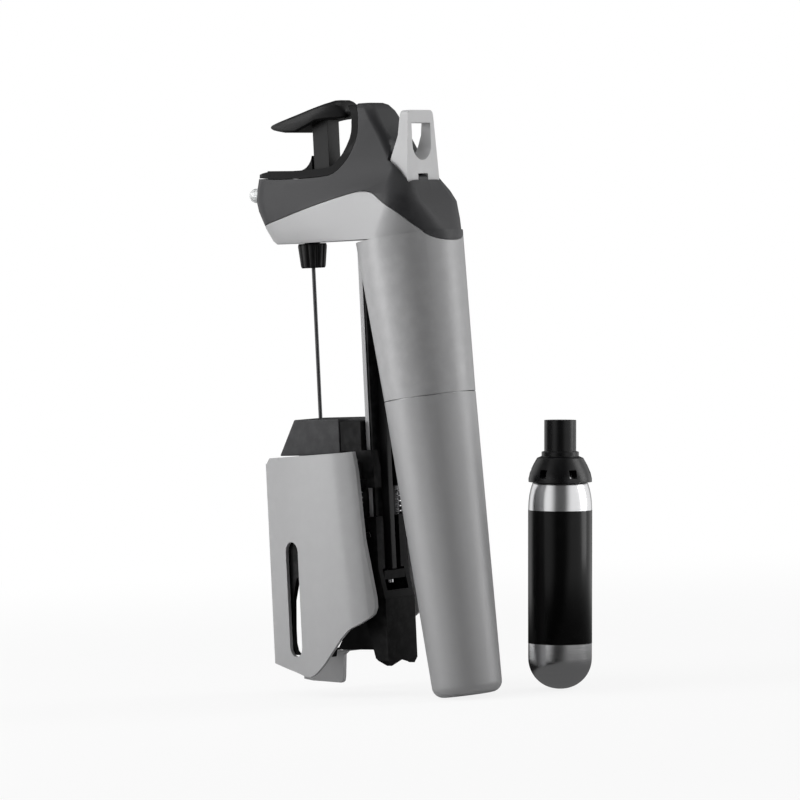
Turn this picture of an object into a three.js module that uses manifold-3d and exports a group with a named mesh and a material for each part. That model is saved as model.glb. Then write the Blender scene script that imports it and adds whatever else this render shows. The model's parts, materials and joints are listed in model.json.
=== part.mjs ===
// A hand-held wine preservation dispenser, in millimetres, +Z up.
// While the pieces are placed, the needle's axis is X = 0, Y = 0 and the needle knob's underside
// is Z = 0. The pour spout points to -Y and the handle stands behind, at +Y. At the end the whole
// device is moved so that the centre of the handle's base is the origin.
import * as THREE from "three";
import { mergeVertices } from "three/addons/utils/BufferGeometryUtils.js";
import Module from "manifold-3d";

const wasm = await Module();
wasm.setup();

// General fits
const gap = 0.3;
const wall = 2.2;
const overrun = 6;
const fineSides = 40;
const mediumSides = 20;
const smallSides = 12;
const smoothSteps = 22;

// Handle: a round taper, leaning forward to the head
const handleLean = THREE.MathUtils.degToRad(5.8);
const handleBaseY = 69.6;
const handleBaseDepth = 177;
const handleFootRadius = 14.4;
const handleSplitRadius = 18.8;
const handleTopRadius = 22.1;
const handleSplitHeight = 122.6;
const handleFootCorner = 4.5;

// Head: nose, shoulder and hood
const headUnderside = 10.5;
const headHeight = 56;
const headHalfWidth = 22;
const headDepth = 50;
const noseRadius = 11.2;
const noseReach = 14.25;
const headFloor = 2.5;
const shoulderArcSteps = 9;
const noseArcSteps = 8;
const flankSteps = 3;
// Each row: height, half width, corner of that half width, depth of the rear, nose radius, nose reach
const headShares = [
  [0, 1, 1, 1, 0.77, 0.53],
  [0.026, 0.998, 0.97, 1.005, 0.86, 0.58],
  [0.122, 0.991, 0.83, 1.03, 0.95, 0.74],
  [0.252, 0.955, 0.57, 1.078, 1, 0.93],
  [0.33, 0.868, 0.5, 1.07, 1, 1],
  [0.417, 0.705, 0.52, 1.042, 0.975, 0.975],
  [0.504, 0.568, 0.34, 1.04, 0.93, 0.935],
  [0.609, 0.491, 0.37, 0.96, 0.9, 0.92],
  [0.748, 0.464, 0.39, 0.878, 0.89, 0.91],
  [0.87, 0.455, 0.4, 0.792, 0.89, 0.91],
  [0.939, 0.423, 0.43, 0.746, 0.84, 0.9],
  [0.985, 0.35, 0.45, 0.71, 0.7, 0.9],
  [1, 0.26, 0.46, 0.69, 0.5, 0.9],
];

// The handle's round taper ends just inside the head
const handleTopHeight = (handleBaseDepth + headUnderside + gap) / Math.cos(handleLean);

// Seam between the body shell and the top cover, as places along and above the needle axis
const seamReach = 75;
const seamRise = 32;
const seamSteps = 30;
const seamShares = [
  [-0.4, 0.51], [-0.173, 0.619], [0.073, 0.75], [0.32, 0.872], [0.489, 0.941], [0.547, 0.944],
  [0.607, 0.919], [0.66, 0.85], [0.755, 0.716], [0.82, 0.591], [0.887, 0.425], [0.933, 0.322],
  [0.987, 0.256], [1.04, 0.203],
];

// C-shaped finger opening of the head
const openingDepth = 34.3;
const openingFloor = 37;
const openingHeight = 32.3;
const openingShares = [
  [-0.875, 0.045], [-0.542, 0.035], [-0.466, 0.025], [-0.213, 0.006], [0.146, 0], [0.499, 0.009],
  [0.641, 0.046], [0.758, 0.136], [0.866, 0.263], [0.968, 0.452], [1, 0.607], [0.997, 0.774],
  [0.95, 0.879], [0.857, 0.991],
];
const frameThickness = 3.2;
const frameTop = 66;
const frameTipTop = 39.6;
const frameTipY = -24;
const frameTaperY = -14;
const rampWidth = 9;
const rampLength = 7.6;
const rampRise = 6;

// Trigger
const triggerPivotY = 38.5;
const triggerPivotZ = 60;
const triggerHalfWidth = 9.5;
const triggerLength = 40;
const triggerRise = 9.8;
const triggerTipY = -15;
const triggerTipZ = 58.9;
// Each row: place along the blade, half width, underside and top
const triggerShares = [
  [0, 0.47, 0.03, 0.11], [0.025, 0.68, -0.03, 0.155], [0.075, 0.86, -0.09, 0.205],
  [0.15, 0.97, -0.155, 0.285], [0.25, 1, -0.235, 0.4], [0.39, 1, -0.255, 0.56], [0.56, 1, 0, 0.735],
  [0.65, 0.99, 0.155, 0.82], [0.745, 0.95, 0.195, 0.92], [0.825, 0.875, 0.205, 0.99],
  [0.893, 0.78, 0.205, 0.99], [0.945, 0.7, 0.215, 0.855], [0.98, 0.62, 0.255, 0.655], [1, 0.53, 0.335, 0.48],
];
// Half of the blade's crowned section: shares of its half width and of its thickness
const triggerCrownShares = [
  [0.88, 0], [0.97, 0.1], [1, 0.3], [1, 0.5], [0.92, 0.76], [0.74, 0.92], [0.4, 1],
];
const postFrontY = 5.9;
const postRearY = 13.9;
const postHalfWidth = 3.9;
const postFoot = 30;
const postHead = 64.6;
const postRunClearance = 3.1;
const lugHalfWidth = 3.6;
const knuckleRadius = 2.5;
const triggerPinRadius = 1.2;
const triggerPinHalfLength = 7.3;
const triggerSpringRadius = 1.9;
const triggerSpringLength = 2.6;

// Trigger lock: a loop standing on the rear of the hood
const lockRearY = 59;
const lockFrontY = 50;
const lockFootZ = 32.1;
const lockTopZ = 62.2;
const lockFootHalfWidth = 11.2;
const lockTopHalfWidth = 8.7;
const lockTopThickness = 3.9;
const lockSeatZ = 42;
const lockCorner = 2.2;
const lockWindowHalfWidth = 6.4;
const lockWindowFoot = 41.8;
const lockWindowTop = 57;
const lockPivotY = 57.3;
const lockPivotZ = 33.8;
const lockPinRadius = 0.8;
const lockPinHalfLength = 8;
const lockLugHalfWidth = 3;
const lockLugRadius = 1.9;
const lockTroughRadius = 3;
const lockBarRadius = 4.6;

// Needle, its knob and the block in the nose that it screws into
const needleRadius = 0.8;
const needleTip = -76;
const needleTipLength = 4;
const knobTopRadius = 6.2;
const knobFootRadius = 5.3;
const knobLobes = 10;
const knobLobeDepth = 0.6;
const shankRadius = 3.2;
const shankTop = 15;
const sealHeight = 1.2;
const blockHalfWidth = 7;
const blockFrontY = -9;
const blockRearY = 17;
const blockTop = 23.5;
const riserHalfWidth = 5;
const riserRearY = -1;
const riserTop = 34.2;
const stemRadius = 1.5;
const stemHeadRadius = 3.2;
const stemHeadHeight = 1.6;
const stemFoot = 20;
const stemBore = 16;
const stemY = 10;
const blockScrewX = 5;
const blockScrewY = 13.4;
const screwRadius = 1.2;
const screwHeadRadius = 2;
const screwHeadHeight = 1.4;
const spoutZ = 31.5;
const spoutRadius = 3;
const spoutTipY = -30.6;
const spoutRootY = -20;
const spoutBore = 1.7;
const pourTubeRadius = 2;

// Regulator and what seals the capsule to it, along the handle's axis
const cupFloor = 3;
const cupWall = 0.9;
const cushionHeight = 2;
const cushionRadius = 9;
const cushionTopShare = 0.9;
const regulatorRadius = 13.5;
const regulatorNeckRadius = 6;
const regulatorLength = 24.4;
const regulatorNeckLength = 17;
const capsuleSealRadius = 5;
const capsuleSealHeight = 1.5;
const pinRadius = 0.8;
const pinSocket = 4;
const collarRadius = 16.2;
const collarDrop = 10.8;
const collarRise = 9.2;
const cupSealSection = 0.5;
const cupSealDrop = 5.8;
const gasTubeRadius = 1.6;
const gasTubeZ = 19.5;

// Gas capsule and its cap, upward from the capsule's bottom
const capsuleRadius = 13.2;
const capsuleFootHeight = 11.5;
const capsuleFootShares = [
  [0.27, 0], [0.36, 0.08], [0.54, 0.22], [0.83, 0.5], [0.93, 0.7], [0.985, 0.87], [1, 1],
];
const capsuleBodyHeight = 74.5;
const capsuleShoulderHeight = 17;
const capsuleNeckRadius = 4.6;
const capsuleNeckLength = 3.5;
const capsuleWall = 1.6;
const capsuleNeckBore = 1;
const capRoof = 2.9;
const capTubeLength = 12.8;
const capSkirtSteps = 3;
const capsuleSides = 24;
const capSkirtRadius = 13.1;
const capTubeRadius = 6.6;
const capCollarRadius = 7.7;
const capBore = 1.9;
const capWindows = 6;
const capWindowWidth = 3.2;
const capWindowHeight = 3.4;
const spareX = -37.1;
const spareY = 89.4;
const spareDrop = 177.9;
const spareTiltBack = THREE.MathUtils.degToRad(2.13);
const spareTiltSide = THREE.MathUtils.degToRad(1.6);

// Heights that follow from these: along the capsule, then along the handle's axis
const capsuleNeckTop = capsuleBodyHeight + capsuleShoulderHeight + capsuleNeckLength;
const capTubeFoot = capsuleNeckTop + capRoof;
const capTop = capTubeFoot + capTubeLength;
const capsuleFoot = cupFloor + gap + cushionHeight + gap;
const regulatorFoot = capsuleFoot + capTop + gap + capsuleSealHeight + gap;
const collarFoot = handleSplitHeight - collarDrop;
const collarTop = handleSplitHeight + collarRise;
const cupSealHeight = handleSplitHeight - cupSealDrop;
const regulatorShoulder = regulatorFoot + regulatorLength;
const regulatorTop = regulatorShoulder + regulatorNeckLength;

// Rail in front of the handle
const railHalfWidth = 7;
const railFrontY = 28.6;
const railRearY = 35;
const railFlange = 2.1;
const railWebHalfWidth = 1.5;
const railTopZ = 9.4;
const railFootZ = -125.6;
const stripHalfWidth = 6.8;
const stripThickness = 0.9;
const stripTopZ = -12;
const stopHeight = 3.6;

// Carriage, guide and jaws
const carriageHalfWidth = 10;
const carriageFrontY = 20;
const carriageRearY = 34.2;
const carriageTopZ = -64;
const carriageWrapTopZ = -76;
const carriageRelief = 1.3;
const carriageReliefHeight = 9;
const carriageFootZ = -125;
const lipReach = 5.4;
const cheekWindowTopZ = -91.5;
const cheekWindowFootZ = -103.5;
const tailFootZ = -165;
const tailFrontY = 24.6;
const tailWall = 2.2;
const tailRearY = 37.2;
// The rail's stop is reached through an opening in the tail's back, above this height
const tailWindowFootZ = -134;
const tailNotch = 2.2;
const tailBendZ = -147;
const tailBendY = 26.8;
const tailHeelZ = -161.7;
const tailHeelY = 30.7;
const guideHalfWidth = 10.5;
const guideFrontY = -6;
const guideFrontFootY = -14.4;
const guideRearY = 17.5;
const guideTopZ = -62.8;
const guideFootZ = -77.7;
const bushRadius = 2.6;
const jawPinX = 13.4;
const jawPinY = 27.4;
const jawPinRadius = 1.4;
const jawPinTopZ = -79.5;
const jawPinFootZ = -116;
const earRadius = 2.5;
const earHeight = 3.4;
const upperEarTopZ = -87.8;
const lowerEarTopZ = -104.2;
const knuckleHeight = 7;
const springTurns = 5;
const springPitch = 2.1;
const springRadius = 2.15;
const springWire = 0.45;
const jawTopZ = -78.1;
const jawFootZ = -167;
const jawLength = 60;
const jawHalfWidth = 19.6;
const jawPlanSteps = 20;
const jawShell = 1.8;
const jawLiner = 2.5;
// Below its top, the jaw's rear leans back by this much for each unit of height
const jawLean = 0.09;
const jawLeanFromY = 2;
const jawLeanToY = 19;
const jawPlanShares = [
  [0.408, -0.4], [0.653, -0.2], [0.847, 0.033], [0.964, 0.217], [1, 0.317], [0.985, 0.383],
  [0.941, 0.457], [0.868, 0.505], [0.757, 0.553], [0.59, 0.607],
];
// Side outline of a jaw shell: shares of the jaw's length and of its height, from its top
const jawRearShares = [
  [-0.5, 0.06], [-0.385, 0.03], [-0.35, 0.006], [0.42, -0.019], [0.488, -0.0225], [0.508, 0.07],
  [0.546, 0.386], [0.577, 0.527], [0.606, 0.657], [0.609, 0.7], [0.598, 0.728], [0.573, 0.746],
  [0.507, 0.771], [0.41, 0.799], [0.33, 0.844],
];
const jawFootShares = [
  [0.253, 0.9], [0.158, 0.966], [0.113, 0.992], [0.073, 1.012], [0.017, 1.028], [-0.04, 1.025],
  [-0.145, 1.007], [-0.5, 0.962],
];
// The left jaw's foot has a narrower tongue, which reaches lower
const leftFootShares = [
  [0.2, 0.915], [0.05, 0.932], [-0.07, 0.94], [-0.097, 0.955], [-0.108, 1.06], [-0.115, 1.082],
  [-0.13, 1.09], [-0.33, 1.078], [-0.5, 1.05],
];
const linerSideShares = [
  [-0.5, 0.09], [0.4, 0.09], [0.4, 0.78], [0.33, 0.8], [0.3, 0.83], [0.25, 0.83], [0.22, 0.93],
  [-0.5, 0.93],
];
const leftJawSwing = THREE.MathUtils.degToRad(5);
const slotY = -7.6;
const slotHalfWidth = 4.1;
const slotTopZ = -113.4;
const slotFootZ = -161.4;
// The liner's own slot is pointed at its top: shares of the slot's half width and of its height
const linerSlotShares = [
  [0.1, 0.315], [-0.756, 0.52], [-0.95, 0.763], [-0.95, 0.888], [-0.7, 0.956], [-0.17, 0.99],
  [0.49, 0.963], [0.9, 0.898], [0.9, 0.41], [0.58, 0.315],
];
const padThickness = 1.4;
const padTopZ = -90;
const padFootZ = -110;
const linerStripShares = [0.05, 0.65];
const padStripShares = [0.2, 0.45];
const sideScrewY = 29.9;
const sideScrewZ = -111;
const sideScrewRadius = 1.5;
const brakeThickness = 1.2;
const brakeTopZ = -110;
const brakeFootZ = -118;

const lightGrey = { color: 0xa9abad, roughness: 0.42, metalness: 0.35 };
const lockGrey = { color: 0xc6c7c8, roughness: 0.5, metalness: 0.05 };
const coverGrey = { color: 0x4a4b4d, roughness: 0.5, metalness: 0.1 };
const black = { color: 0x161617, roughness: 0.45, metalness: 0 };
const steel = { color: 0xc9cbcc, roughness: 0.28, metalness: 1 };
const brass = { color: 0xb08d4f, roughness: 0.35, metalness: 1 };
const rubber = { color: 0x1b1b1b, roughness: 0.85, metalness: 0 };
const clear = { color: 0xdfe3e4, roughness: 0.12, metalness: 0.4 };

// Solids from three.js geometries and back
function solid(geometry) {
  const bare = geometry.clone();
  bare.deleteAttribute("normal");
  bare.deleteAttribute("uv");
  const merged = mergeVertices(bare);
  const vertProperties = new Float32Array(merged.attributes.position.array);
  const triVerts = new Uint32Array(merged.index.array);
  return new wasm.Manifold(new wasm.Mesh({ numProp: 3, vertProperties, triVerts }));
}

function geometryOf(manifold) {
  const mesh = manifold.getMesh();
  const geometry = new THREE.BufferGeometry();
  geometry.setAttribute("position", new THREE.BufferAttribute(mesh.vertProperties, 3));
  geometry.setIndex(new THREE.BufferAttribute(mesh.triVerts, 1));
  geometry.computeVertexNormals();
  return geometry;
}

const alongX = new THREE.Matrix4().makeBasis(
  new THREE.Vector3(0, 1, 0), new THREE.Vector3(0, 0, 1), new THREE.Vector3(1, 0, 0));
const alongY = new THREE.Matrix4().makeBasis(
  new THREE.Vector3(1, 0, 0), new THREE.Vector3(0, 0, 1), new THREE.Vector3(0, -1, 0));
const handlePlace = new THREE.Matrix4().makeTranslation(0, handleBaseY, -handleBaseDepth)
  .multiply(new THREE.Matrix4().makeRotationX(handleLean));

function block(x0, x1, y0, y1, z0, z1) {
  const geometry = new THREE.BoxGeometry(x1 - x0, y1 - y0, z1 - z0);
  return geometry.translate((x0 + x1) / 2, (y0 + y1) / 2, (z0 + z1) / 2);
}

function twinBlock(halfWidth, y0, y1, z0, z1) {
  return block(-halfWidth, halfWidth, y0, y1, z0, z1);
}

function post(radius, z0, z1, x = 0, y = 0, sides = smallSides, footRadius = radius) {
  const geometry = new THREE.CylinderGeometry(radius, footRadius, z1 - z0, sides);
  geometry.rotateX(Math.PI / 2);
  return geometry.translate(x, y, (z0 + z1) / 2);
}

function bar(radius, x0, x1, y, z, sides = smallSides) {
  const geometry = new THREE.CylinderGeometry(radius, radius, x1 - x0, sides);
  geometry.rotateZ(Math.PI / 2);
  return geometry.translate((x0 + x1) / 2, y, z);
}

function barAlongY(radius, y0, y1, x, z, sides = smallSides) {
  const geometry = new THREE.CylinderGeometry(radius, radius, y1 - y0, sides);
  return geometry.translate(x, (y0 + y1) / 2, z);
}

function turned(profile, sides = fineSides) {
  const points = profile.map(([radius, height]) => new THREE.Vector2(radius, height));
  const geometry = new THREE.LatheGeometry(points, sides);
  return geometry.rotateX(Math.PI / 2);
}

function extruded(points, depth) {
  const outline = new THREE.Shape(points.map(([a, b]) => new THREE.Vector2(a, b)));
  return new THREE.ExtrudeGeometry(outline, { depth, bevelEnabled: false });
}

// An outline in Y and Z, drawn out along X
function sideCut(points, x0, x1) {
  return extruded(points, x1 - x0).applyMatrix4(alongX).translate(x0, 0, 0);
}

// An outline in X and Z, drawn out along Y
function frontCut(points, y0, y1) {
  return extruded(points, y1 - y0).applyMatrix4(alongY).translate(0, y1, 0);
}

// An outline in X and Y, drawn out along Z
function planCut(points, z0, z1) {
  return extruded(points, z1 - z0).translate(0, 0, z0);
}

function joined(first, ...rest) {
  return rest.reduce((sum, geometry) => sum.add(asSolid(geometry)), asSolid(first));
}

function cut(first, ...rest) {
  return rest.reduce((left, geometry) => left.subtract(asSolid(geometry)), asSolid(first));
}

function common(first, second) {
  return asSolid(first).intersect(asSolid(second));
}

function asSolid(shape) {
  return shape.isBufferGeometry ? solid(shape) : shape;
}

function smoothLine(points, steps = smoothSteps) {
  const curve = new THREE.SplineCurve(points.map(([a, b]) => new THREE.Vector2(a, b)));
  return curve.getPoints(steps).map((point) => [point.x, point.y]);
}

// The line moved to its left by the distance
function offsetLine(points, distance) {
  return points.map(([a, b], i) => {
    const [a0, b0] = points[Math.max(i - 1, 0)];
    const [a1, b1] = points[Math.min(i + 1, points.length - 1)];
    const length = Math.hypot(a1 - a0, b1 - b0);
    return [a - ((b1 - b0) / length) * distance, b + ((a1 - a0) / length) * distance];
  });
}

function arcPoints(centreX, centreY, radius, from, to, steps) {
  return Array.from({ length: steps + 1 }, (_, i) => {
    const angle = from + ((to - from) * i) / steps;
    return [centreX + radius * Math.cos(angle), centreY + radius * Math.sin(angle)];
  });
}

// A closed skin over rings that all have the same number of points, capped at both ends
function skin(rings) {
  const count = rings[0].length;
  const positions = rings.flat(2);
  const index = [];
  for (let level = 0; level + 1 < rings.length; level += 1) {
    for (let i = 0; i < count; i += 1) {
      const next = (i + 1) % count;
      const a = level * count + i;
      const b = level * count + next;
      index.push(a, b, b + count, a, b + count, a + count);
    }
  }
  const caps = THREE.ShapeUtils.triangulateShape(
    rings[0].map(([x, y]) => new THREE.Vector2(x, y)), []);
  const lastCaps = THREE.ShapeUtils.triangulateShape(
    rings[rings.length - 1].map(([x, y]) => new THREE.Vector2(x, y)), []);
  const last = (rings.length - 1) * count;
  caps.forEach(([a, b, c]) => index.push(a, c, b));
  lastCaps.forEach(([a, b, c]) => index.push(last + a, last + b, last + c));
  const geometry = new THREE.BufferGeometry();
  geometry.setAttribute("position", new THREE.Float32BufferAttribute(positions, 3));
  geometry.setIndex(index);
  return geometry;
}

// Plan ring of the head at one level: two rear corners, two straight flanks and a round nose
function headRing(shares, inset) {
  const [heightShare, widthShare, cornerShare, depthShare, noseShare, reachShare] = shares;
  const halfWidth = headHalfWidth * widthShare;
  const corner = Math.max(halfWidth * cornerShare - inset, inset / 2 + gap);
  const side = halfWidth - inset - corner;
  const rearY = headDepth * depthShare;
  const nose = noseRadius * noseShare - inset;
  const noseY = -noseReach * reachShare;
  const tangent = Math.asin((halfWidth - inset - nose) / Math.hypot(rearY - noseY, side));
  const flank = (points) => points.flatMap(([a, b]) => Array.from({ length: flankSteps }, (_, i) => {
    const share = (i + 1) / (flankSteps + 1);
    return [a[0] + (b[0] - a[0]) * share, a[1] + (b[1] - a[1]) * share];
  }));
  const right = arcPoints(side, rearY, corner, -tangent, Math.PI / 2, shoulderArcSteps);
  const left = arcPoints(-side, rearY, corner, Math.PI / 2, Math.PI + tangent, shoulderArcSteps);
  const front = arcPoints(0, noseY, nose, Math.PI + tangent, Math.PI * 2 - tangent, noseArcSteps);
  const leftFlank = flank([[left[left.length - 1], front[0]]]);
  const rightFlank = flank([[front[front.length - 1], right[0]]]);
  // Where the two rear corners share one centre, their common point is kept apart by a hair
  if (side < gap / 10) {
    left.shift();
    const [first, second] = left;
    left.unshift([(right[right.length - 1][0] + second[0]) / 2, first[1]]);
  }
  const z = headUnderside + headHeight * heightShare;
  return [...right, ...left, ...leftFlank, ...front, ...rightFlank].map(([x, y]) => [x, y, z]);
}

function headForm(inset) {
  return solid(skin(headShares.map((shares) => headRing(shares, inset))));
}

const seamLine = smoothLine(seamShares.map(([a, b]) => [a * seamReach, b * seamRise]), seamSteps);
const openingLine = smoothLine(
  openingShares.map(([a, b]) => [a * openingDepth, openingFloor + b * openingHeight]), smoothSteps);
const farY = seamReach + headDepth;
const farZ = headUnderside + headHeight + headDepth;

// All that lies above the seam, lowered by the drop
function aboveSeam(drop) {
  const line = seamLine.map(([y, z]) => [y, z - drop]);
  const last = line[line.length - 1];
  const outline = [[-farY, line[0][1]], ...line, [farY, last[1]], [farY, farZ], [-farY, farZ]];
  return solid(sideCut(outline, -headDepth, headDepth));
}

// The space of the finger opening, grown by the distance
function openingSpace(distance) {
  const line = offsetLine(openingLine, -distance);
  const last = line[line.length - 1];
  const outline = [[-farY, line[0][1]], ...line, [last[0], farZ], [-farY, farZ]];
  return solid(sideCut(outline, -headDepth, headDepth));
}

function handleRadius(height) {
  const share = height / handleSplitHeight;
  const upperShare = (height - handleSplitHeight) / (handleTopHeight - handleSplitHeight);
  return height < handleSplitHeight
    ? handleFootRadius + (handleSplitRadius - handleFootRadius) * share
    : handleSplitRadius + (handleTopRadius - handleSplitRadius) * upperShare;
}

function lockSpace(distance) {
  const outline = [
    [lockRearY + distance, lockFootZ - distance], [lockFrontY - distance, lockSeatZ - distance],
    [lockFrontY - distance, lockSeatZ + overrun * 3], [lockRearY + distance, lockSeatZ + overrun * 3],
  ];
  return solid(sideCut(outline, -lockFootHalfWidth - distance, lockFootHalfWidth + distance));
}

function headShell() {
  const coneOutline = [
    [0, handleSplitHeight + gap], [handleRadius(handleSplitHeight), handleSplitHeight + gap],
    [handleTopRadius, handleTopHeight], [0, handleTopHeight],
  ];
  const boreOutline = [
    [0, handleSplitHeight - overrun], [collarRadius + gap, handleSplitHeight - overrun],
    [collarRadius + gap, collarTop + gap], [handleRadius(collarTop) - wall, collarTop + wall],
    [handleTopRadius - wall, handleTopHeight + gap], [0, handleTopHeight + gap],
  ];
  const cone = solid(turned(coneOutline).applyMatrix4(handlePlace));
  const bore = solid(turned(boreOutline).applyMatrix4(handlePlace));
  const outer = cut(joined(headForm(0), cone), openingSpace(0));
  const floorCut = twinBlock(headDepth, -farY, farY, headUnderside + headFloor, farZ);
  const roofCut = twinBlock(headDepth, -farY, farY, -farZ, headUnderside + headHeight - wall);
  const hollow = cut(common(common(headForm(wall), floorCut), roofCut), openingSpace(wall));
  const neckHole = post(headHalfWidth - wall * 2, headUnderside - overrun, headUnderside + headFloor + gap,
    0, headDepth, fineSides);
  return cut(outer, joined(hollow, bore, neckHole));
}

const shell = headShell();

function bodyShell() {
  const railPocket = twinBlock(railHalfWidth + gap, railFrontY - gap, railRearY + gap,
    railFootZ, railTopZ + gap);
  const shankHole = post(shankRadius + gap, headUnderside - overrun, headUnderside + overrun);
  return cut(shell, aboveSeam(gap), railPocket, shankHole);
}

function topCover() {
  const upper = common(shell, aboveSeam(0));
  const lockBar = common(bar(lockBarRadius, -lockFootHalfWidth, lockFootHalfWidth, lockPivotY, lockPivotZ),
    headForm(gap / 2));
  const trough = bar(lockTroughRadius, -lockFootHalfWidth - gap, lockFootHalfWidth + gap,
    lockPivotY, lockPivotZ);
  const lockLug = joined(
    bar(lockLugRadius, -lockLugHalfWidth, lockLugHalfWidth, lockPivotY, lockPivotZ),
    twinBlock(lockLugHalfWidth, lockPivotY - lockLugRadius, lockPivotY + lockLugRadius / 2,
      lockPivotZ - lockTroughRadius - gap, lockPivotZ));
  const postSlot = twinBlock(postHalfWidth + gap, postFrontY - gap, postRearY + postRunClearance,
    openingFloor - overrun, openingFloor + overrun);
  const lugRun = knuckleRadius + gap;
  const lugSlot = twinBlock(lugHalfWidth + gap, openingDepth - frameThickness, triggerPivotY + lugRun,
    triggerPivotZ - lugRun, triggerPivotZ + lugRun);
  const spoutHole = barAlongY(spoutRadius + gap, spoutTipY, spoutRootY + overrun, 0, spoutZ);
  const seated = cut(joined(upper, lockBar), lockSpace(gap), trough);
  const lockPinHole = bar(lockPinRadius + gap, -lockFootHalfWidth, lockFootHalfWidth, lockPivotY, lockPivotZ);
  return cut(joined(seated, lockLug), lockPinHole, postSlot, lugSlot, spoutHole);
}

function triggerFrame() {
  const outer = offsetLine(openingLine, gap);
  const inner = offsetLine(openingLine, gap + frameThickness);
  const outline = [...outer, ...inner.slice().reverse()];
  const band = common(solid(sideCut(outline, -headDepth, headDepth)), headForm(gap / 2));
  const rampFoot = openingFloor + gap + frameThickness;
  const rampEnd = postFrontY - gap * 2;
  const rampLine = smoothLine([
    [rampEnd - rampLength, rampFoot - gap], [rampEnd - rampLength * 0.45, rampFoot + rampRise * 0.18],
    [rampEnd - rampLength * 0.12, rampFoot + rampRise * 0.6], [rampEnd, rampFoot + rampRise],
  ], 8);
  const ramp = sideCut([...rampLine, [rampEnd, rampFoot - gap]], -rampWidth / 2, rampWidth / 2);
  const postSlot = twinBlock(postHalfWidth + gap, postFrontY - gap, postRearY + postRunClearance,
    openingFloor - overrun, openingFloor + overrun);
  const above = twinBlock(headDepth, -farY, farY, frameTop, farZ);
  const overTip = sideCut([
    [-farY, frameTipTop], [frameTipY, frameTipTop], [frameTaperY, rampFoot + gap], [frameTaperY, frameTop],
    [-farY, frameTop],
  ], -headDepth, headDepth);
  const lugRun = knuckleRadius + gap;
  const lugNotch = twinBlock(lugHalfWidth + gap, frameTaperY, triggerPivotY, triggerPivotZ - lugRun, farZ);
  return cut(joined(band, ramp), postSlot, above, overTip, lugNotch);
}

// The blade is a skin over crowned sections, from its rear end forward to its tip
function triggerBlade() {
  const rings = triggerShares.slice().reverse().map(([along, width, under, top]) => {
    const half = width * triggerHalfWidth;
    const place = (side) => ([a, b]) => [
      side * a * half, triggerTipZ + triggerRise * (under + (top - under) * b),
      -(triggerTipY + triggerLength * along),
    ];
    const right = triggerCrownShares.map(place(1));
    const left = triggerCrownShares.map(place(-1)).reverse();
    return [...right, ...left];
  });
  return solid(skin(rings).applyMatrix4(alongY));
}

function trigger() {
  const stalk = twinBlock(postHalfWidth, postFrontY, postRearY, postFoot, postHead);
  const lug = twinBlock(lugHalfWidth, triggerTipY + triggerLength - knuckleRadius, triggerPivotY,
    triggerPivotZ + gap * 2, triggerPivotZ + knuckleRadius);
  const knuckle = bar(knuckleRadius, -lugHalfWidth, lugHalfWidth, triggerPivotY, triggerPivotZ);
  const hole = bar(triggerPinRadius + gap, -headDepth, headDepth, triggerPivotY, triggerPivotZ);
  return cut(joined(triggerBlade(), stalk, lug, knuckle), hole);
}

function triggerSpring() {
  const x = lugHalfWidth + gap;
  return cut(bar(triggerSpringRadius, x, x + triggerSpringLength, triggerPivotY, triggerPivotZ),
    bar(triggerPinRadius + gap, 0, headDepth, triggerPivotY, triggerPivotZ));
}

function triggerLock() {
  const frontOutline = [
    [-lockFootHalfWidth, lockFootZ], [lockFootHalfWidth, lockFootZ],
    ...arcPoints(lockTopHalfWidth - lockCorner, lockTopZ - lockCorner, lockCorner, 0.1, Math.PI / 2, 4),
    ...arcPoints(-lockTopHalfWidth + lockCorner, lockTopZ - lockCorner, lockCorner, Math.PI / 2,
      Math.PI - 0.1, 4),
  ];
  const frontFace = lockRearY - lockTopThickness;
  const sideOutline = [
    [lockRearY, lockFootZ], [lockRearY, lockTopZ], [frontFace, lockTopZ],
    [frontFace - lockCorner / 2, (lockTopZ + lockSeatZ) / 2], [lockFrontY + gap, lockSeatZ + gap],
    [lockFrontY + gap, lockSeatZ],
  ];
  const plate = common(frontCut(frontOutline, lockFrontY - overrun, lockRearY + overrun),
    sideCut(sideOutline, -lockFootHalfWidth, lockFootHalfWidth));
  const windowOutline = [
    [lockWindowHalfWidth, lockWindowTop], [-lockWindowHalfWidth, lockWindowTop],
    ...arcPoints(0, lockWindowFoot + lockWindowHalfWidth, lockWindowHalfWidth, Math.PI, Math.PI * 2, 10),
  ];
  const window = frontCut(windowOutline, lockFrontY - overrun, lockRearY + overrun);
  const lugNotch = twinBlock(lockLugHalfWidth + gap, lockFrontY - overrun, lockRearY + overrun,
    lockFootZ - overrun, lockPivotZ + lockLugRadius + gap * 2);
  const footRound = cut(
    twinBlock(lockFootHalfWidth + gap, lockPivotY, lockRearY + gap, lockFootZ - gap, lockPivotZ),
    bar(lockTroughRadius - gap * 2, -lockFootHalfWidth - overrun, lockFootHalfWidth + overrun,
      lockPivotY, lockPivotZ));
  const hole = bar(lockPinRadius + gap, -lockFootHalfWidth - gap, lockFootHalfWidth + gap,
    lockPivotY, lockPivotZ);
  return cut(plate, window, lugNotch, footRound, hole);
}

// A knob with shallow lobes, round its shank
function needleKnob() {
  const top = headUnderside - gap;
  const levels = [
    [0, knobFootRadius * 0.93], [top * 0.08, knobFootRadius], [top * 0.9, knobTopRadius],
    [top, knobTopRadius * 0.95],
  ];
  const sides = knobLobes * 6;
  const ring = ([z, radius]) => Array.from({ length: sides }, (_, i) => {
    const angle = (Math.PI * 2 * i) / sides;
    const lobe = Math.abs(Math.cos((angle * knobLobes) / 2)) ** 0.5;
    const reach = radius - knobLobeDepth * (1 - lobe) * 1.2;
    return [reach * Math.cos(angle), reach * Math.sin(angle), z];
  });
  const grip = solid(skin(levels.map(ring)));
  return cut(joined(grip, post(shankRadius, top - gap, shankTop)),
    post(needleRadius + gap, -overrun, shankTop + overrun));
}

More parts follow.
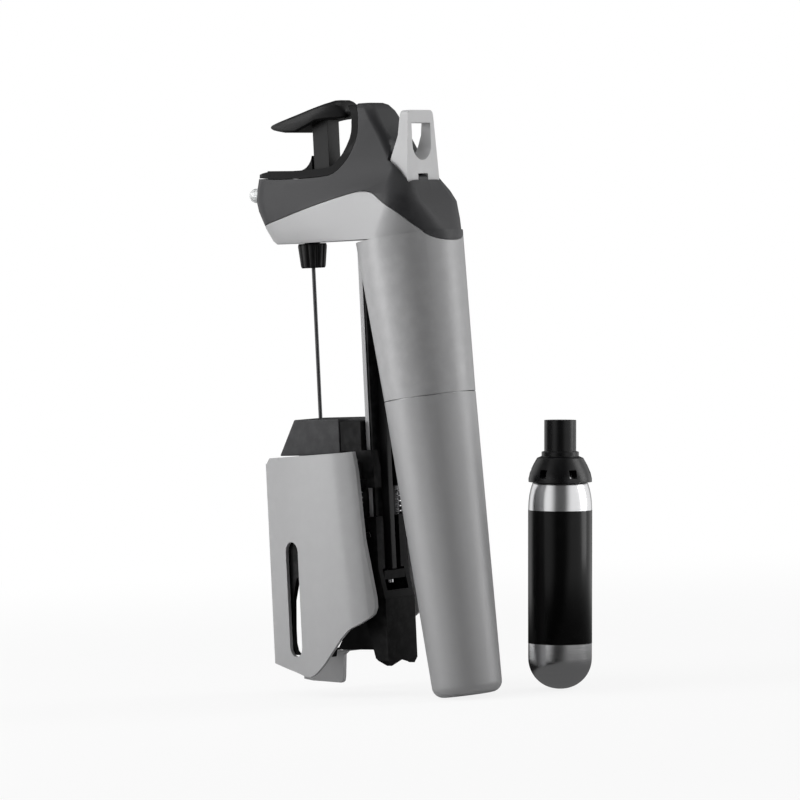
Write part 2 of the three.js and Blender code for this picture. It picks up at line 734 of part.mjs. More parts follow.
function needle() {
  const top = shankTop + sealHeight + gap * 2;
  return turned([
    [0, needleTip], [needleRadius, needleTip + needleTipLength], [needleRadius, top], [0, top],
  ], smallSides);
}

function needleSeal() {
  const foot = shankTop + gap;
  return turned([
    [needleRadius + gap, foot], [shankRadius, foot], [shankRadius, foot + sealHeight],
    [needleRadius + gap, foot + sealHeight], [needleRadius + gap, foot],
  ], mediumSides);
}

function needleBlock() {
  const foot = headUnderside + headFloor + gap;
  const base = twinBlock(blockHalfWidth, blockFrontY, blockRearY, foot, blockTop);
  const riser = twinBlock(riserHalfWidth, blockFrontY, riserRearY, blockTop - gap, riserTop);
  const shankHole = post(shankRadius + gap, foot - gap, shankTop + sealHeight + gap * 3, 0, 0, mediumSides);
  const stemHole = post(stemRadius + gap, stemBore, blockTop + gap, 0, stemY);
  const screwHoles = [-blockScrewX, blockScrewX].map(
    (x) => post(screwRadius + gap, foot - gap, blockTop + gap, x, blockScrewY));
  return cut(joined(base, riser), shankHole, stemHole, ...screwHoles);
}

function valveStem() {
  const headTop = postFoot - gap;
  return joined(post(stemRadius, stemFoot, headTop, 0, stemY),
    post(stemHeadRadius, headTop - stemHeadHeight, headTop, 0, stemY));
}

function valveSpring() {
  const foot = blockTop + gap;
  const top = postFoot - gap - stemHeadHeight - gap;
  return cut(post(stemHeadRadius, foot, top, 0, stemY),
    post(stemRadius + gap, foot - gap, top + gap, 0, stemY));
}

function blockScrew(x) {
  const foot = headUnderside + headFloor + gap * 2;
  const seat = blockTop + gap;
  return joined(post(screwRadius, foot, seat + gap, x, blockScrewY),
    post(screwHeadRadius, seat, seat + screwHeadHeight, x, blockScrewY));
}

function pourSpout() {
  const profile = [
    [spoutBore, 0], [spoutRadius, 0], [spoutRadius, spoutRootY - spoutTipY - gap * 5],
    [spoutRadius * 0.72, spoutRootY - spoutTipY], [spoutBore, spoutRootY - spoutTipY], [spoutBore, 0],
  ];
  const points = profile.map(([radius, length]) => new THREE.Vector2(radius, -length));
  return new THREE.LatheGeometry(points.reverse(), mediumSides).translate(0, spoutRootY, spoutZ);
}

function pourTube() {
  return cut(barAlongY(pourTubeRadius, spoutRootY + gap, blockFrontY - gap, 0, spoutZ),
    barAlongY(pourTubeRadius / 2, spoutRootY, blockFrontY, 0, spoutZ));
}

// From the regulator's outlet up through the handle's neck and forward to the block in the nose
function gasTube() {
  const start = new THREE.Vector3(0, 0, regulatorTop + gap).applyMatrix4(handlePlace);
  const rise = new THREE.Vector3(0, 0, regulatorTop + gap + gasTubeRadius * 2).applyMatrix4(handlePlace);
  const end = new THREE.Vector3(0, blockRearY + gap, gasTubeZ);
  const bend = headDepth * 0.16;
  const route = new THREE.CatmullRomCurve3([
    start, rise, new THREE.Vector3(0, rise.y - bend * 0.5, gasTubeZ - bend * 2),
    new THREE.Vector3(0, rise.y - bend * 1.5, gasTubeZ - bend * 0.5),
    new THREE.Vector3(0, rise.y - bend * 2.9, gasTubeZ),
    new THREE.Vector3(0, end.y + gasTubeRadius * 2, gasTubeZ), end,
  ]);
  const section = new THREE.Shape(arcPoints(0, 0, gasTubeRadius, 0, Math.PI * 2, 8).slice(0, 8)
    .map(([x, y]) => new THREE.Vector2(x, y)));
  return new THREE.ExtrudeGeometry(section, { steps: 20, extrudePath: route, bevelEnabled: false });
}

function regulatorBody() {
  const body = turned([
    [0, regulatorFoot], [regulatorRadius * 0.8, regulatorFoot], [regulatorRadius, regulatorFoot + wall],
    [regulatorRadius, regulatorShoulder], [regulatorNeckRadius, regulatorShoulder + wall * 2],
    [regulatorNeckRadius, regulatorTop], [0, regulatorTop],
  ], mediumSides);
  return cut(body, post(pinRadius + gap, regulatorFoot - gap, regulatorFoot + pinSocket + gap));
}

function piercingPin() {
  const tip = capsuleFoot + capsuleNeckTop + gap;
  return turned([
    [0, tip], [pinRadius, tip + pinRadius * 3], [pinRadius, regulatorFoot + pinSocket],
    [0, regulatorFoot + pinSocket],
  ], smallSides);
}

function capsuleSeal() {
  const foot = capsuleFoot + capTop + gap;
  const top = foot + capsuleSealHeight;
  return turned([
    [pinRadius + gap, foot], [capsuleSealRadius, foot], [capsuleSealRadius, top],
    [pinRadius + gap, top], [pinRadius + gap, foot],
  ], mediumSides);
}

function threadedCollar() {
  const inner = regulatorRadius + gap;
  const groove = cupSealSection + gap;
  return turned([
    [inner, collarFoot], [collarRadius, collarFoot], [collarRadius, cupSealHeight - groove],
    [collarRadius - groove * 2, cupSealHeight - groove], [collarRadius - groove * 2, cupSealHeight + groove],
    [collarRadius, cupSealHeight + groove], [collarRadius, collarTop], [inner, collarTop],
    [inner, collarFoot],
  ]);
}

function cupSeal() {
  const ring = new THREE.TorusGeometry(collarRadius - cupSealSection, cupSealSection, 6, fineSides);
  return ring.translate(0, 0, cupSealHeight);
}

function handleCup() {
  const corner = arcPoints(handleFootRadius - handleFootCorner, handleFootCorner, handleFootCorner,
    -Math.PI / 2, 0, 6);
  const top = handleSplitHeight;
  const step = cupFloor + cushionHeight;
  return turned([
    [0, 0], ...corner, [handleSplitRadius, top], [handleSplitRadius - cupWall, top],
    [handleRadius(step) - cupWall, step], [cushionRadius + gap, cupFloor], [0, cupFloor],
  ]);
}

function cupCushion() {
  const foot = cupFloor + gap;
  const top = foot + cushionHeight;
  return turned([
    [0, foot], [cushionRadius, foot], [cushionRadius * cushionTopShare, top], [0, top],
  ], mediumSides);
}

// Line of the shoulder, from the body up to the neck
const shoulderSteps = 7;
const shoulderLine = Array.from({ length: shoulderSteps + 1 }, (_, i) => {
  const angle = ((i / shoulderSteps) * Math.PI) / 2;
  return [capsuleNeckRadius + (capsuleRadius - capsuleNeckRadius) * Math.cos(angle),
    capsuleBodyHeight + capsuleShoulderHeight * Math.sin(angle)];
});

function capsule() {
  const foot = capsuleFootShares.map(([a, b]) => [a * capsuleRadius, b * capsuleFootHeight]);
  const inner = capsuleRadius - capsuleWall;
  const well = capsuleFootHeight / 2 + capsuleWall;
  return turned([
    [0, 0], ...foot, ...shoulderLine, [capsuleNeckRadius, capsuleNeckTop],
    [capsuleNeckBore, capsuleNeckTop], [capsuleNeckBore, capsuleBodyHeight + capsuleShoulderHeight - wall],
    [inner - wall, capsuleBodyHeight + capsuleShoulderHeight / 2], [inner, capsuleBodyHeight],
    [inner, capsuleFootHeight], [inner * 0.75, well], [0, well],
  ], capsuleSides);
}

function capsuleCap() {
  const neckLine = [...shoulderLine, [capsuleNeckRadius, capsuleNeckTop]];
  const inner = offsetLine(neckLine, -gap).slice(capSkirtSteps, -1);
  const skirtFoot = inner[0][1];
  const rise = capTubeFoot - skirtFoot;
  const body = turned([
    ...inner, [capsuleNeckRadius + gap, capsuleNeckTop + gap], [capBore, capsuleNeckTop + gap],
    [capBore, capTop], [capTubeRadius, capTop], [capTubeRadius, capTubeFoot],
    [capCollarRadius, capTubeFoot - rise * 0.02], [capCollarRadius, capTubeFoot - rise * 0.16],
    [capSkirtRadius * 0.73, capTubeFoot - rise * 0.22], [capSkirtRadius * 0.85, capTubeFoot - rise * 0.44],
    [capSkirtRadius * 0.965, skirtFoot + rise * 0.3], [capSkirtRadius, skirtFoot + rise * 0.13],
    [capSkirtRadius, skirtFoot], inner[0],
  ].reverse(), capsuleSides);
  const windows = Array.from({ length: capWindows }, (_, i) => {
    const foot = skirtFoot + rise * 0.14;
    const window = block(capsuleNeckRadius + gap * 3, capSkirtRadius + overrun, -capWindowWidth / 2,
      capWindowWidth / 2, foot, foot + capWindowHeight);
    return window.rotateZ((Math.PI * 2 * i) / capWindows);
  });
  return cut(body, ...windows);
}

function rail() {
  const flange = twinBlock(railHalfWidth, railFrontY, railFrontY + railFlange, railFootZ, railTopZ);
  const web = twinBlock(railWebHalfWidth, railFrontY + gap, railRearY, railFootZ, railTopZ);
  return joined(flange, web);
}

function railStrip(side) {
  const inner = railWebHalfWidth + gap;
  const x = [side * inner, side * stripHalfWidth].sort((a, b) => a - b);
  const front = railFrontY + railFlange + gap;
  return block(x[0], x[1], front, front + stripThickness, railFootZ, stripTopZ);
}

function railStop() {
  const top = railFootZ - gap;
  const middle = (railFrontY + railRearY) / 2;
  return cut(twinBlock(railHalfWidth, railFrontY, railRearY, top - stopHeight, top),
    post(screwRadius + gap, top - stopHeight - gap, top + gap, 0, middle));
}

function stopScrew() {
  const seat = railFootZ - gap - stopHeight - gap;
  const middle = (railFrontY + railRearY) / 2;
  return joined(post(screwRadius, seat - gap, railFootZ - gap, 0, middle),
    post(screwHeadRadius, seat - screwHeadHeight, seat, 0, middle));
}

function ear(side, topZ) {
  const x = [side * (carriageHalfWidth - gap), side * jawPinX].sort((a, b) => a - b);
  return joined(post(earRadius, topZ - earHeight, topZ, side * jawPinX, jawPinY, mediumSides),
    block(x[0], x[1], jawPinY - earRadius, jawPinY + earRadius, topZ - earHeight, topZ));
}

function carriage() {
  const spine = twinBlock(carriageHalfWidth, carriageFrontY, carriageRearY, carriageFootZ, carriageWrapTopZ);
  const neck = twinBlock(carriageHalfWidth, guideRearY + gap, railFrontY - gap,
    carriageWrapTopZ - gap, carriageTopZ);
  const tailOutline = [
    [-carriageHalfWidth, carriageFootZ + gap], [-carriageHalfWidth, tailFootZ + tailWall],
    [-carriageHalfWidth + tailWall, tailFootZ], [0, tailFootZ + tailNotch],
    [carriageHalfWidth - tailWall, tailFootZ], [carriageHalfWidth, tailFootZ + tailWall],
    [carriageHalfWidth, carriageFootZ + gap],
  ];
  const tailSide = sideCut([
    [tailFrontY, carriageFootZ + overrun], [tailFrontY, tailBendZ + overrun], [tailBendY, tailBendZ],
    [tailHeelY, tailHeelZ], [tailRearY - tailWall, tailFootZ - gap], [tailRearY, tailFootZ - gap],
    [tailRearY, carriageFootZ + overrun],
  ], -headDepth, headDepth);
  const tail = cut(common(frontCut(tailOutline, tailFrontY, tailRearY), tailSide),
    twinBlock(railHalfWidth + gap, railFrontY - gap, railRearY + gap, tailFootZ - gap,
      carriageFootZ + overrun),
    twinBlock(railHalfWidth + gap, railFrontY, tailRearY + gap, tailWindowFootZ, carriageFootZ + overrun),
    sideCut([
      [tailRearY + gap, carriageFootZ - overrun * 2], [tailRearY - gap, carriageFootZ - overrun * 2],
      [carriageRearY, carriageFootZ + gap], [carriageRearY, carriageFootZ + overrun],
      [tailRearY + gap, carriageFootZ + overrun],
    ], -headDepth, headDepth));
  const ears = [-1, 1].flatMap((side) => [ear(side, upperEarTopZ), ear(side, lowerEarTopZ)]);
  const stripRear = railFrontY + railFlange + gap + stripThickness;
  const flangeSlot = twinBlock(railHalfWidth + gap, railFrontY - gap, stripRear + gap,
    carriageFootZ - gap, carriageTopZ);
  const webSlot = twinBlock(lipReach, railFrontY, carriageRearY + gap, carriageFootZ - gap, carriageTopZ);
  const cheekWindow = block(-headDepth, headDepth, railFrontY - gap * 2, carriageRearY + gap,
    cheekWindowFootZ, cheekWindowTopZ);
  // The upper rear edge is cut back, to pass the head when the carriage is up
  const relief = sideCut([
    [carriageRearY - carriageRelief, carriageWrapTopZ + gap],
    [carriageRearY + gap, carriageWrapTopZ - carriageReliefHeight],
    [carriageRearY + gap, carriageWrapTopZ + gap],
  ], -headDepth, headDepth);
  const pinHoles = [-1, 1].map((side) => post(jawPinRadius + gap, jawPinFootZ, jawPinTopZ,
    side * jawPinX, jawPinY));
  const brakePocket = twinBlock(blockHalfWidth - gap * 3, railFrontY - gap * 2 - brakeThickness, railFrontY,
    brakeFootZ - gap, brakeTopZ + gap);
  const screwHoles = bar(sideScrewRadius + gap, -headDepth, headDepth, sideScrewY, sideScrewZ);
  return cut(joined(spine, neck, tail, ...ears), flangeSlot, webSlot, cheekWindow, relief, ...pinHoles,
    brakePocket, screwHoles);
}

function brakePad() {
  const y = railFrontY - gap;
  return twinBlock(blockHalfWidth - gap * 4, y - brakeThickness, y, brakeFootZ, brakeTopZ);
}

function sideScrew(side) {
  const x = [side * (railHalfWidth + gap * 2), side * (carriageHalfWidth + gap * 2)].sort((a, b) => a - b);
  return bar(sideScrewRadius, x[0], x[1], sideScrewY, sideScrewZ);
}

function guideBlock() {
  const outline = [
    [guideFrontFootY, guideFootZ], [guideRearY, guideFootZ], [guideRearY, guideTopZ],
    [guideFrontY, guideTopZ],
  ];
  return cut(sideCut(outline, -guideHalfWidth, guideHalfWidth),
    post(bushRadius + gap, guideFootZ - gap, guideTopZ + gap, 0, 0, mediumSides));
}

function guideBush() {
  return turned([
    [needleRadius + gap, guideFootZ], [bushRadius, guideFootZ], [bushRadius, guideTopZ],
    [needleRadius + gap, guideTopZ], [needleRadius + gap, guideFootZ],
  ], mediumSides);
}

// The shape with its rear moved back below the jaws' top
function leaned(geometry) {
  const place = geometry.attributes.position;
  for (let i = 0; i < place.count; i += 1) {
    const share = THREE.MathUtils.smoothstep(place.getY(i), jawLeanFromY, jawLeanToY);
    place.setY(i, place.getY(i) + jawLean * (jawTopZ - place.getZ(i)) * share);
  }
  return geometry;
}

// A strip of a jaw's plan between two depths under its outer face, drawn out along Z
function jawStrip(outerDepth, innerDepth, z0, z1, [fromShare, toShare] = [0, 1]) {
  const line = smoothLine(jawPlanShares.map(([a, b]) => [a * jawHalfWidth, b * jawLength]), jawPlanSteps);
  const first = Math.round(fromShare * (line.length - 1));
  const last = Math.round(toShare * (line.length - 1));
  const outer = offsetLine(line, outerDepth).slice(first, last + 1);
  const inner = offsetLine(line, innerDepth).slice(first, last + 1);
  return solid(leaned(planCut([...outer, ...inner.reverse()], z0, z1)));
}

function jawSlot() {
  const outline = [
    ...arcPoints(slotY, slotTopZ - slotHalfWidth, slotHalfWidth, 0, Math.PI, 8),
    ...arcPoints(slotY, slotFootZ + slotHalfWidth, slotHalfWidth, Math.PI, Math.PI * 2, 8),
  ];
  return solid(sideCut(outline, 0, headDepth));
}

function linerSlot() {
  const outline = linerSlotShares.map(([a, b]) => [
    slotY + a * slotHalfWidth, slotTopZ + b * (slotFootZ - slotTopZ),
  ]);
  return solid(sideCut(outline, 0, headDepth));
}

function jawSide(shares) {
  const height = jawTopZ - jawFootZ;
  const outline = shares.map(([a, b]) => [a * jawLength, jawTopZ - b * height]);
  return solid(sideCut(outline.reverse(), 0, headDepth));
}

function jawShellPiece(side) {
  const strip = jawStrip(0, jawShell, jawFootZ - overrun * 2, jawTopZ + overrun);
  const outline = [...jawRearShares, ...(side > 0 ? jawFootShares : leftFootShares)];
  return cut(common(strip, jawSide(outline)), jawSlot());
}

function jawLinerPiece() {
  const depth = jawShell + gap;
  const strip = jawStrip(depth, depth + jawLiner, jawFootZ, jawTopZ, linerStripShares);
  const body = cut(common(strip, jawSide(linerSideShares)), linerSlot());
  const linerX = jawHalfWidth - depth - gap * 2;
  const knuckles = [upperEarTopZ + gap + knuckleHeight, lowerEarTopZ - earHeight - gap].map((topZ) => joined(
    post(earRadius, topZ - knuckleHeight, topZ, jawPinX, jawPinY, mediumSides),
    planCut([
      [jawPinX, jawPinY - earRadius], [linerX, jawPinY - earRadius * 3],
      [linerX, jawPinY - earRadius * 1.6], [jawPinX + earRadius, jawPinY],
    ], topZ - knuckleHeight, topZ)));
  const holes = post(jawPinRadius + gap, jawPinFootZ - overrun, jawPinTopZ + overrun, jawPinX, jawPinY);
  return cut(joined(body, ...knuckles), holes);
}

function jawPadPiece() {
  const depth = jawShell + gap + jawLiner + gap;
  return jawStrip(depth, depth + padThickness, padFootZ, padTopZ, padStripShares);
}

// The same piece on the other side of the device
function mirrored(manifold) {
  const geometry = geometryOf(asSolid(manifold));
  geometry.scale(-1, 1, 1);
  const index = Array.from(geometry.index.array);
  const flipped = index.map((_, i) => index[i - (i % 3) + (2 - (i % 3))]);
  geometry.setIndex(flipped);
  return geometry;
}

function handed(side, manifold) {
  return side > 0 ? manifold : mirrored(manifold);
}

// A torsion spring round its pin, of one unbroken wire whose ends run straight to the ears
function springRoute(side) {
  const top = upperEarTopZ - earHeight - gap;
  const foot = lowerEarTopZ + gap;
  const wound = springTurns * springPitch;
  const start = (top + foot) / 2 + wound / 2;
  const steps = springTurns * 8;
  const points = [new THREE.Vector3(side * jawPinX + springRadius, jawPinY, top)];
  for (let i = 0; i <= steps; i += 1) {
    const angle = (Math.PI * 2 * i) / 8;
    points.push(new THREE.Vector3(side * jawPinX + springRadius * Math.cos(angle),
      jawPinY + springRadius * Math.sin(angle) * side, start - (wound * i) / steps));
  }
  points.push(new THREE.Vector3(side * jawPinX + springRadius, jawPinY, foot));
  return points;
}

// Least clear distance between stretches of the wire that are not neighbours
function leastGap(points, wire) {
  let least = Infinity;
  points.forEach((point, i) => points.forEach((other, j) => {
    least = Math.abs(i - j) > 4 ? Math.min(least, point.distanceTo(other) - wire * 2) : least;
  }));
  return least;
}

function wireTube(points, wire) {
  const sides = 5;
  const rings = points.map((point, i) => {
    const before = points[Math.max(i - 1, 0)];
    const after = points[Math.min(i + 1, points.length - 1)];
    const along = after.clone().sub(before).normalize();
    const ends = i === 0 || i === points.length - 1;
    const forward = ends ? new THREE.Vector3(0, 0, -1) : along;
    const axisPoint = new THREE.Vector3(Math.sign(point.x) * jawPinX, jawPinY, point.z);
    const out = point.clone().sub(axisPoint);
    const normal = out.sub(forward.clone().multiplyScalar(out.dot(forward))).normalize();
    const across = forward.clone().cross(normal);
    return Array.from({ length: sides }, (_, k) => {
      const angle = (Math.PI * 2 * k) / sides;
      const corner = point.clone().addScaledVector(normal, wire * Math.cos(angle))
        .addScaledVector(across, wire * Math.sin(angle));
      return corner.toArray();
    });
  });
  const index = [];
  for (let level = 0; level + 1 < rings.length; level += 1) {
    for (let k = 0; k < sides; k += 1) {
      const a = level * sides + k;
      const b = level * sides + ((k + 1) % sides);
      index.push(a, b, b + sides, a, b + sides, a + sides);
    }
  }
  const last = (rings.length - 1) * sides;
  for (let k = 1; k + 1 < sides; k += 1) {
    index.push(0, k + 1, k, last, last + k, last + k + 1);
  }
  const geometry = new THREE.BufferGeometry();
  geometry.setAttribute("position", new THREE.Float32BufferAttribute(rings.flat(2), 3));
  geometry.setIndex(index);
  return geometry;
}

function jawSpring(side) {
  const points = springRoute(side);
  console.log(`jaw spring: least gap to itself ${leastGap(points, springWire).toFixed(2)} mm`);
  return wireTube(points, springWire);
}

function piece(name, shape, finish, parent) {
  const geometry = shape.isBufferGeometry ? shape : geometryOf(shape);
  const mesh = new THREE.Mesh(geometry, new THREE.MeshStandardMaterial(finish));
  mesh.name = name;
  parent.add(mesh);
  return mesh;
}

const group = new THREE.Group();
const device = new THREE.Group();
device.position.set(0, -handleBaseY, handleBaseDepth);
group.add(device);

const handle = new THREE.Group();
handle.position.set(0, handleBaseY, -handleBaseDepth);
handle.rotation.x = handleLean;
device.add(handle);

const loadedCapsule = new THREE.Group();
loadedCapsule.position.z = capsuleFoot;
handle.add(loadedCapsule);

const spareCapsule = new THREE.Group();
spareCapsule.position.set(spareX, spareY, -spareDrop);
spareCapsule.rotation.set(-spareTiltBack, -spareTiltSide, 0);
device.add(spareCapsule);

// The jaws turn round their pins, and the left one stands a little open
const jaws = { left: new THREE.Group(), right: new THREE.Group() };
jaws.left.position.set(-jawPinX, jawPinY, 0);
jaws.left.rotation.z = -leftJawSwing;
jaws.right.position.set(jawPinX, jawPinY, 0);
device.add(jaws.left, jaws.right);

piece("body_shell", bodyShell(), lightGrey, device);
piece("top_cover", topCover(), coverGrey, device);
piece("trigger_frame", triggerFrame(), black, device);
piece("trigger", trigger(), black, device);
piece("trigger_pin", bar(triggerPinRadius, -triggerPinHalfLength, triggerPinHalfLength,
  triggerPivotY, triggerPivotZ), steel, device);
piece("trigger_spring", triggerSpring(), steel, device);
piece("trigger_lock", triggerLock(), lockGrey, device);
piece("lock_pin", bar(lockPinRadius, -lockPinHalfLength, lockPinHalfLength, lockPivotY, lockPivotZ),
  steel, device);
piece("needle_knob", needleKnob(), black, device);
piece("needle", needle(), steel, device);
piece("needle_seal", needleSeal(), rubber, device);
piece("needle_block", needleBlock(), black, device);
piece("valve_stem", valveStem(), brass, device);
piece("valve_spring", valveSpring(), steel, device);
piece("block_screw_left", blockScrew(-blockScrewX), steel, device);
piece("block_screw_right", blockScrew(blockScrewX), steel, device);
piece("pour_spout", pourSpout(), clear, device);
piece("pour_tube", pourTube(), clear, device);
piece("gas_tube", gasTube(), clear, device);

piece("regulator_body", regulatorBody(), brass, handle);
piece("piercing_pin", piercingPin(), steel, handle);
piece("capsule_seal", capsuleSeal(), rubber, handle);
piece("threaded_collar", threadedCollar(), steel, handle);
piece("cup_seal", cupSeal(), rubber, handle);
piece("handle_cup", handleCup(), lightGrey, handle);
piece("cup_cushion", cupCushion(), rubber, handle);
piece("capsule", capsule(), steel, loadedCapsule);
piece("capsule_cap", capsuleCap(), black, loadedCapsule);
piece("spare_capsule", capsule(), steel, spareCapsule);
piece("spare_capsule_cap", capsuleCap(), black, spareCapsule);

piece("rail", rail(), lightGrey, device);
piece("rail_strip_left", railStrip(-1), black, device);
piece("rail_strip_right", railStrip(1), black, device);
piece("rail_stop", railStop(), black, device);
piece("stop_screw", stopScrew(), steel, device);

piece("carriage", carriage(), black, device);
piece("guide_block", guideBlock(), coverGrey, device);
piece("guide_bush", guideBush(), black, device);
piece("brake_pad", brakePad(), rubber, device);
[[-1, "left"], [1, "right"]].forEach(([side, word]) => {
  piece(`side_screw_${word}`, sideScrew(side), steel, device);
  [
    ["shell", jawShellPiece(side), lightGrey], ["liner", jawLinerPiece(), black],
    ["pad", jawPadPiece(), rubber],
  ].forEach(([kind, shape, finish]) => {
    const mesh = piece(`jaw_${kind}_${word}`, handed(side, shape), finish, jaws[word]);
    mesh.position.set(-side * jawPinX, -jawPinY, 0);
  });
  piece(`jaw_pin_${word}`, post(jawPinRadius, jawPinFootZ, jawPinTopZ, side * jawPinX, jawPinY),
    steel, device);
  piece(`jaw_spring_${word}`, jawSpring(side), steel, device);
});

export default group;
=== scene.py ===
import json
import math

import bpy
from mathutils import Euler, Matrix, Vector


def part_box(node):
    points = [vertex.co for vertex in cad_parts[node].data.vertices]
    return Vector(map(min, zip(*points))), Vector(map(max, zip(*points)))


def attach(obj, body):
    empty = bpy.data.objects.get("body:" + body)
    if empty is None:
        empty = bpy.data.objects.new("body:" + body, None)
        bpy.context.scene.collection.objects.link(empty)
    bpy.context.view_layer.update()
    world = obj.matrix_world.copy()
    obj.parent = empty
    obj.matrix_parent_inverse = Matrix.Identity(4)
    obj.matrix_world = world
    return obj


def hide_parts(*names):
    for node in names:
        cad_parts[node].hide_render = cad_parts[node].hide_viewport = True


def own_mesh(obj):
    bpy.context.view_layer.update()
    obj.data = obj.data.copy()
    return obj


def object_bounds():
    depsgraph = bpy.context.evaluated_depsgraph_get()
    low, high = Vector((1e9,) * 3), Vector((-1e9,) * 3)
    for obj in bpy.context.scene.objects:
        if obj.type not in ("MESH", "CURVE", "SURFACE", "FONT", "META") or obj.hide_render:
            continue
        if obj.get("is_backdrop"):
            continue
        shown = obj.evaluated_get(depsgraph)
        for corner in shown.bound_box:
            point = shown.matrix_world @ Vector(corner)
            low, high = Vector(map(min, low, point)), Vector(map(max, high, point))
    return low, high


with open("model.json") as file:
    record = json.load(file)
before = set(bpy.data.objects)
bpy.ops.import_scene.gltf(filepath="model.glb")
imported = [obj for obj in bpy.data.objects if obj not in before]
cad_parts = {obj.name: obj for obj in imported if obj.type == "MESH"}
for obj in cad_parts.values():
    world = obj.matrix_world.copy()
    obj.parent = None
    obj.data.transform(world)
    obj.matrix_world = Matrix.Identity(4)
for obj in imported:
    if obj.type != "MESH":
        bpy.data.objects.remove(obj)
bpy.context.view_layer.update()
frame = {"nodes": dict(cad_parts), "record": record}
nodes = frame["nodes"]
record = frame["record"]
slot_of_node = {entry["node"]: entry["material_slot"] for entry in record["subparts"]}
body_of_node = {}
for body, members in record["behaviour"]["bodies"].items():
    for node in members:
        body_of_node[node] = body


MM = 0.001
NEEDLE_Y = -69.6 * MM


# Camera: the photograph shows 2.4 pixels to the millimetre at the needle's knob
PHOTO_SIDE = 800
PHOTO_MIDDLE = 400
KNOB_ACROSS = 313.5
KNOB_DOWN = 268
KNOB_Z = 177 * MM
HORIZON_ABOVE_MIDDLE = 110
CAMERA_DISTANCE = 1.8
FOCAL_PIXELS = 2400.0 * CAMERA_DISTANCE
CAMERA_AZIMUTH = math.atan2(0.6, 0.8)
CAMERA_PITCH = math.atan(HORIZON_ABOVE_MIDDLE / FOCAL_PIXELS)
CAMERA_ROLL = math.radians(2.67)
SENSOR_WIDTH = 36.0
CLIP_NEAR = 0.01
CLIP_FAR = 50


def aim_camera():
    """The camera stands behind the device, on the right jaw's side, and looks slightly down."""
    level = math.cos(CAMERA_PITCH)
    away = Vector((-math.cos(CAMERA_AZIMUTH) * level, -math.sin(CAMERA_AZIMUTH) * level,
                   -math.sin(CAMERA_PITCH)))
    side = away.cross(Vector((0, 0, 1))).normalized()
    up = side.cross(away)
    right = side * math.cos(CAMERA_ROLL) - up * math.sin(CAMERA_ROLL)
    top = side * math.sin(CAMERA_ROLL) + up * math.cos(CAMERA_ROLL)
    knob = Vector((0, NEEDLE_Y, KNOB_Z))
    across = (KNOB_ACROSS - PHOTO_MIDDLE) / FOCAL_PIXELS * CAMERA_DISTANCE
    above = (PHOTO_MIDDLE - KNOB_DOWN) / FOCAL_PIXELS * CAMERA_DISTANCE
    place = knob - right * across - top * above - away * CAMERA_DISTANCE
    turn = Matrix((right, top, -away)).transposed().to_4x4()
    data = bpy.data.cameras.new("camera")
    data.sensor_width = SENSOR_WIDTH
    data.lens = FOCAL_PIXELS / PHOTO_SIDE * SENSOR_WIDTH
    data.clip_start = CLIP_NEAR
    data.clip_end = CLIP_FAR
    camera = bpy.data.objects.new("camera", data)
    camera.matrix_world = Matrix.Translation(place) @ turn
    bpy.context.scene.collection.objects.link(camera)
    bpy.context.scene.camera = camera
    return right, away


view_right, view_away = aim_camera()


# Shader words
MIX_COLOURS = (6, 7)
MIX_RESULT = 2


class Value:
    """A socket that can be used in a sum."""

    def __init__(self, shading, socket):
        self.shading = shading
        self.socket = socket

    def _sum(self, operation, first, second):
        return self.shading.node("ShaderNodeMath", {"operation": operation}, {0: first, 1: second})

    def __add__(self, other):
        return self._sum("ADD", self, other)

    def __radd__(self, other):
        return self._sum("ADD", other, self)

    def __mul__(self, other):
        return self._sum("MULTIPLY", self, other)

    def __rmul__(self, other):
        return self._sum("MULTIPLY", other, self)

    def __sub__(self, other):
        return self._sum("SUBTRACT", self, other)

    def __rsub__(self, other):
        return self._sum("SUBTRACT", other, self)

    def __truediv__(self, other):
        return self._sum("DIVIDE", self, other)

    def __rtruediv__(self, other):
        return self._sum("DIVIDE", other, self)


class Shading:
    """The nodes of a material or of the world."""

    def __init__(self, tree):
        self.tree = tree

    def node(self, kind, settings=None, inputs=None, output=0):
        """A node with its settings, and with its sockets' values or links."""
        made = self.tree.nodes.new(kind)
        for key, value in (settings or {}).items():
            if key == "stops":
                self.set_stops(made.color_ramp, value)
            else:
                setattr(made, key, value)
        for key, value in (inputs or {}).items():
            if isinstance(value, Value):
                self.tree.links.new(value.socket, made.inputs[key])
            else:
                made.inputs[key].default_value = value
        return Value(self, made.outputs[output]) if made.outputs else None

    def set_stops(self, ramp, stops):
        """Two stops, each a position and a level of grey."""
        for element, (position, grey) in zip(ramp.elements, stops):
            element.position = position
            element.color = (grey, grey, grey, 1)

    def ramp(self, value, stops):
        return self.node("ShaderNodeValToRGB", {"stops": stops}, {0: value})

    def smooth_rise(self, value, start, end, low):
        """From low to one, as the value goes from start to end."""
        return self.node("ShaderNodeMapRange", {"interpolation_type": "SMOOTHSTEP"},
                         {0: value, "From Min": start, "From Max": end, "To Min": low, "To Max": 1.0})

    def larger(self, first, second):
        return self.node("ShaderNodeMath", {"operation": "MAXIMUM"}, {0: first, 1: second})

    def unsigned(self, value):
        return self.node("ShaderNodeMath", {"operation": "ABSOLUTE"}, {0: value})

    def along(self, vector, direction):
        return self.node("ShaderNodeVectorMath", {"operation": "DOT_PRODUCT"},
                         {0: vector, 1: direction}, output="Value")

    def ray(self, kind):
        """One for rays of this kind, and nothing for others."""
        return self.node("ShaderNodeLightPath", output=kind)

    def mix(self, share, first, second):
        return self.node("ShaderNodeMixShader", {}, {0: share, 1: first, 2: second})


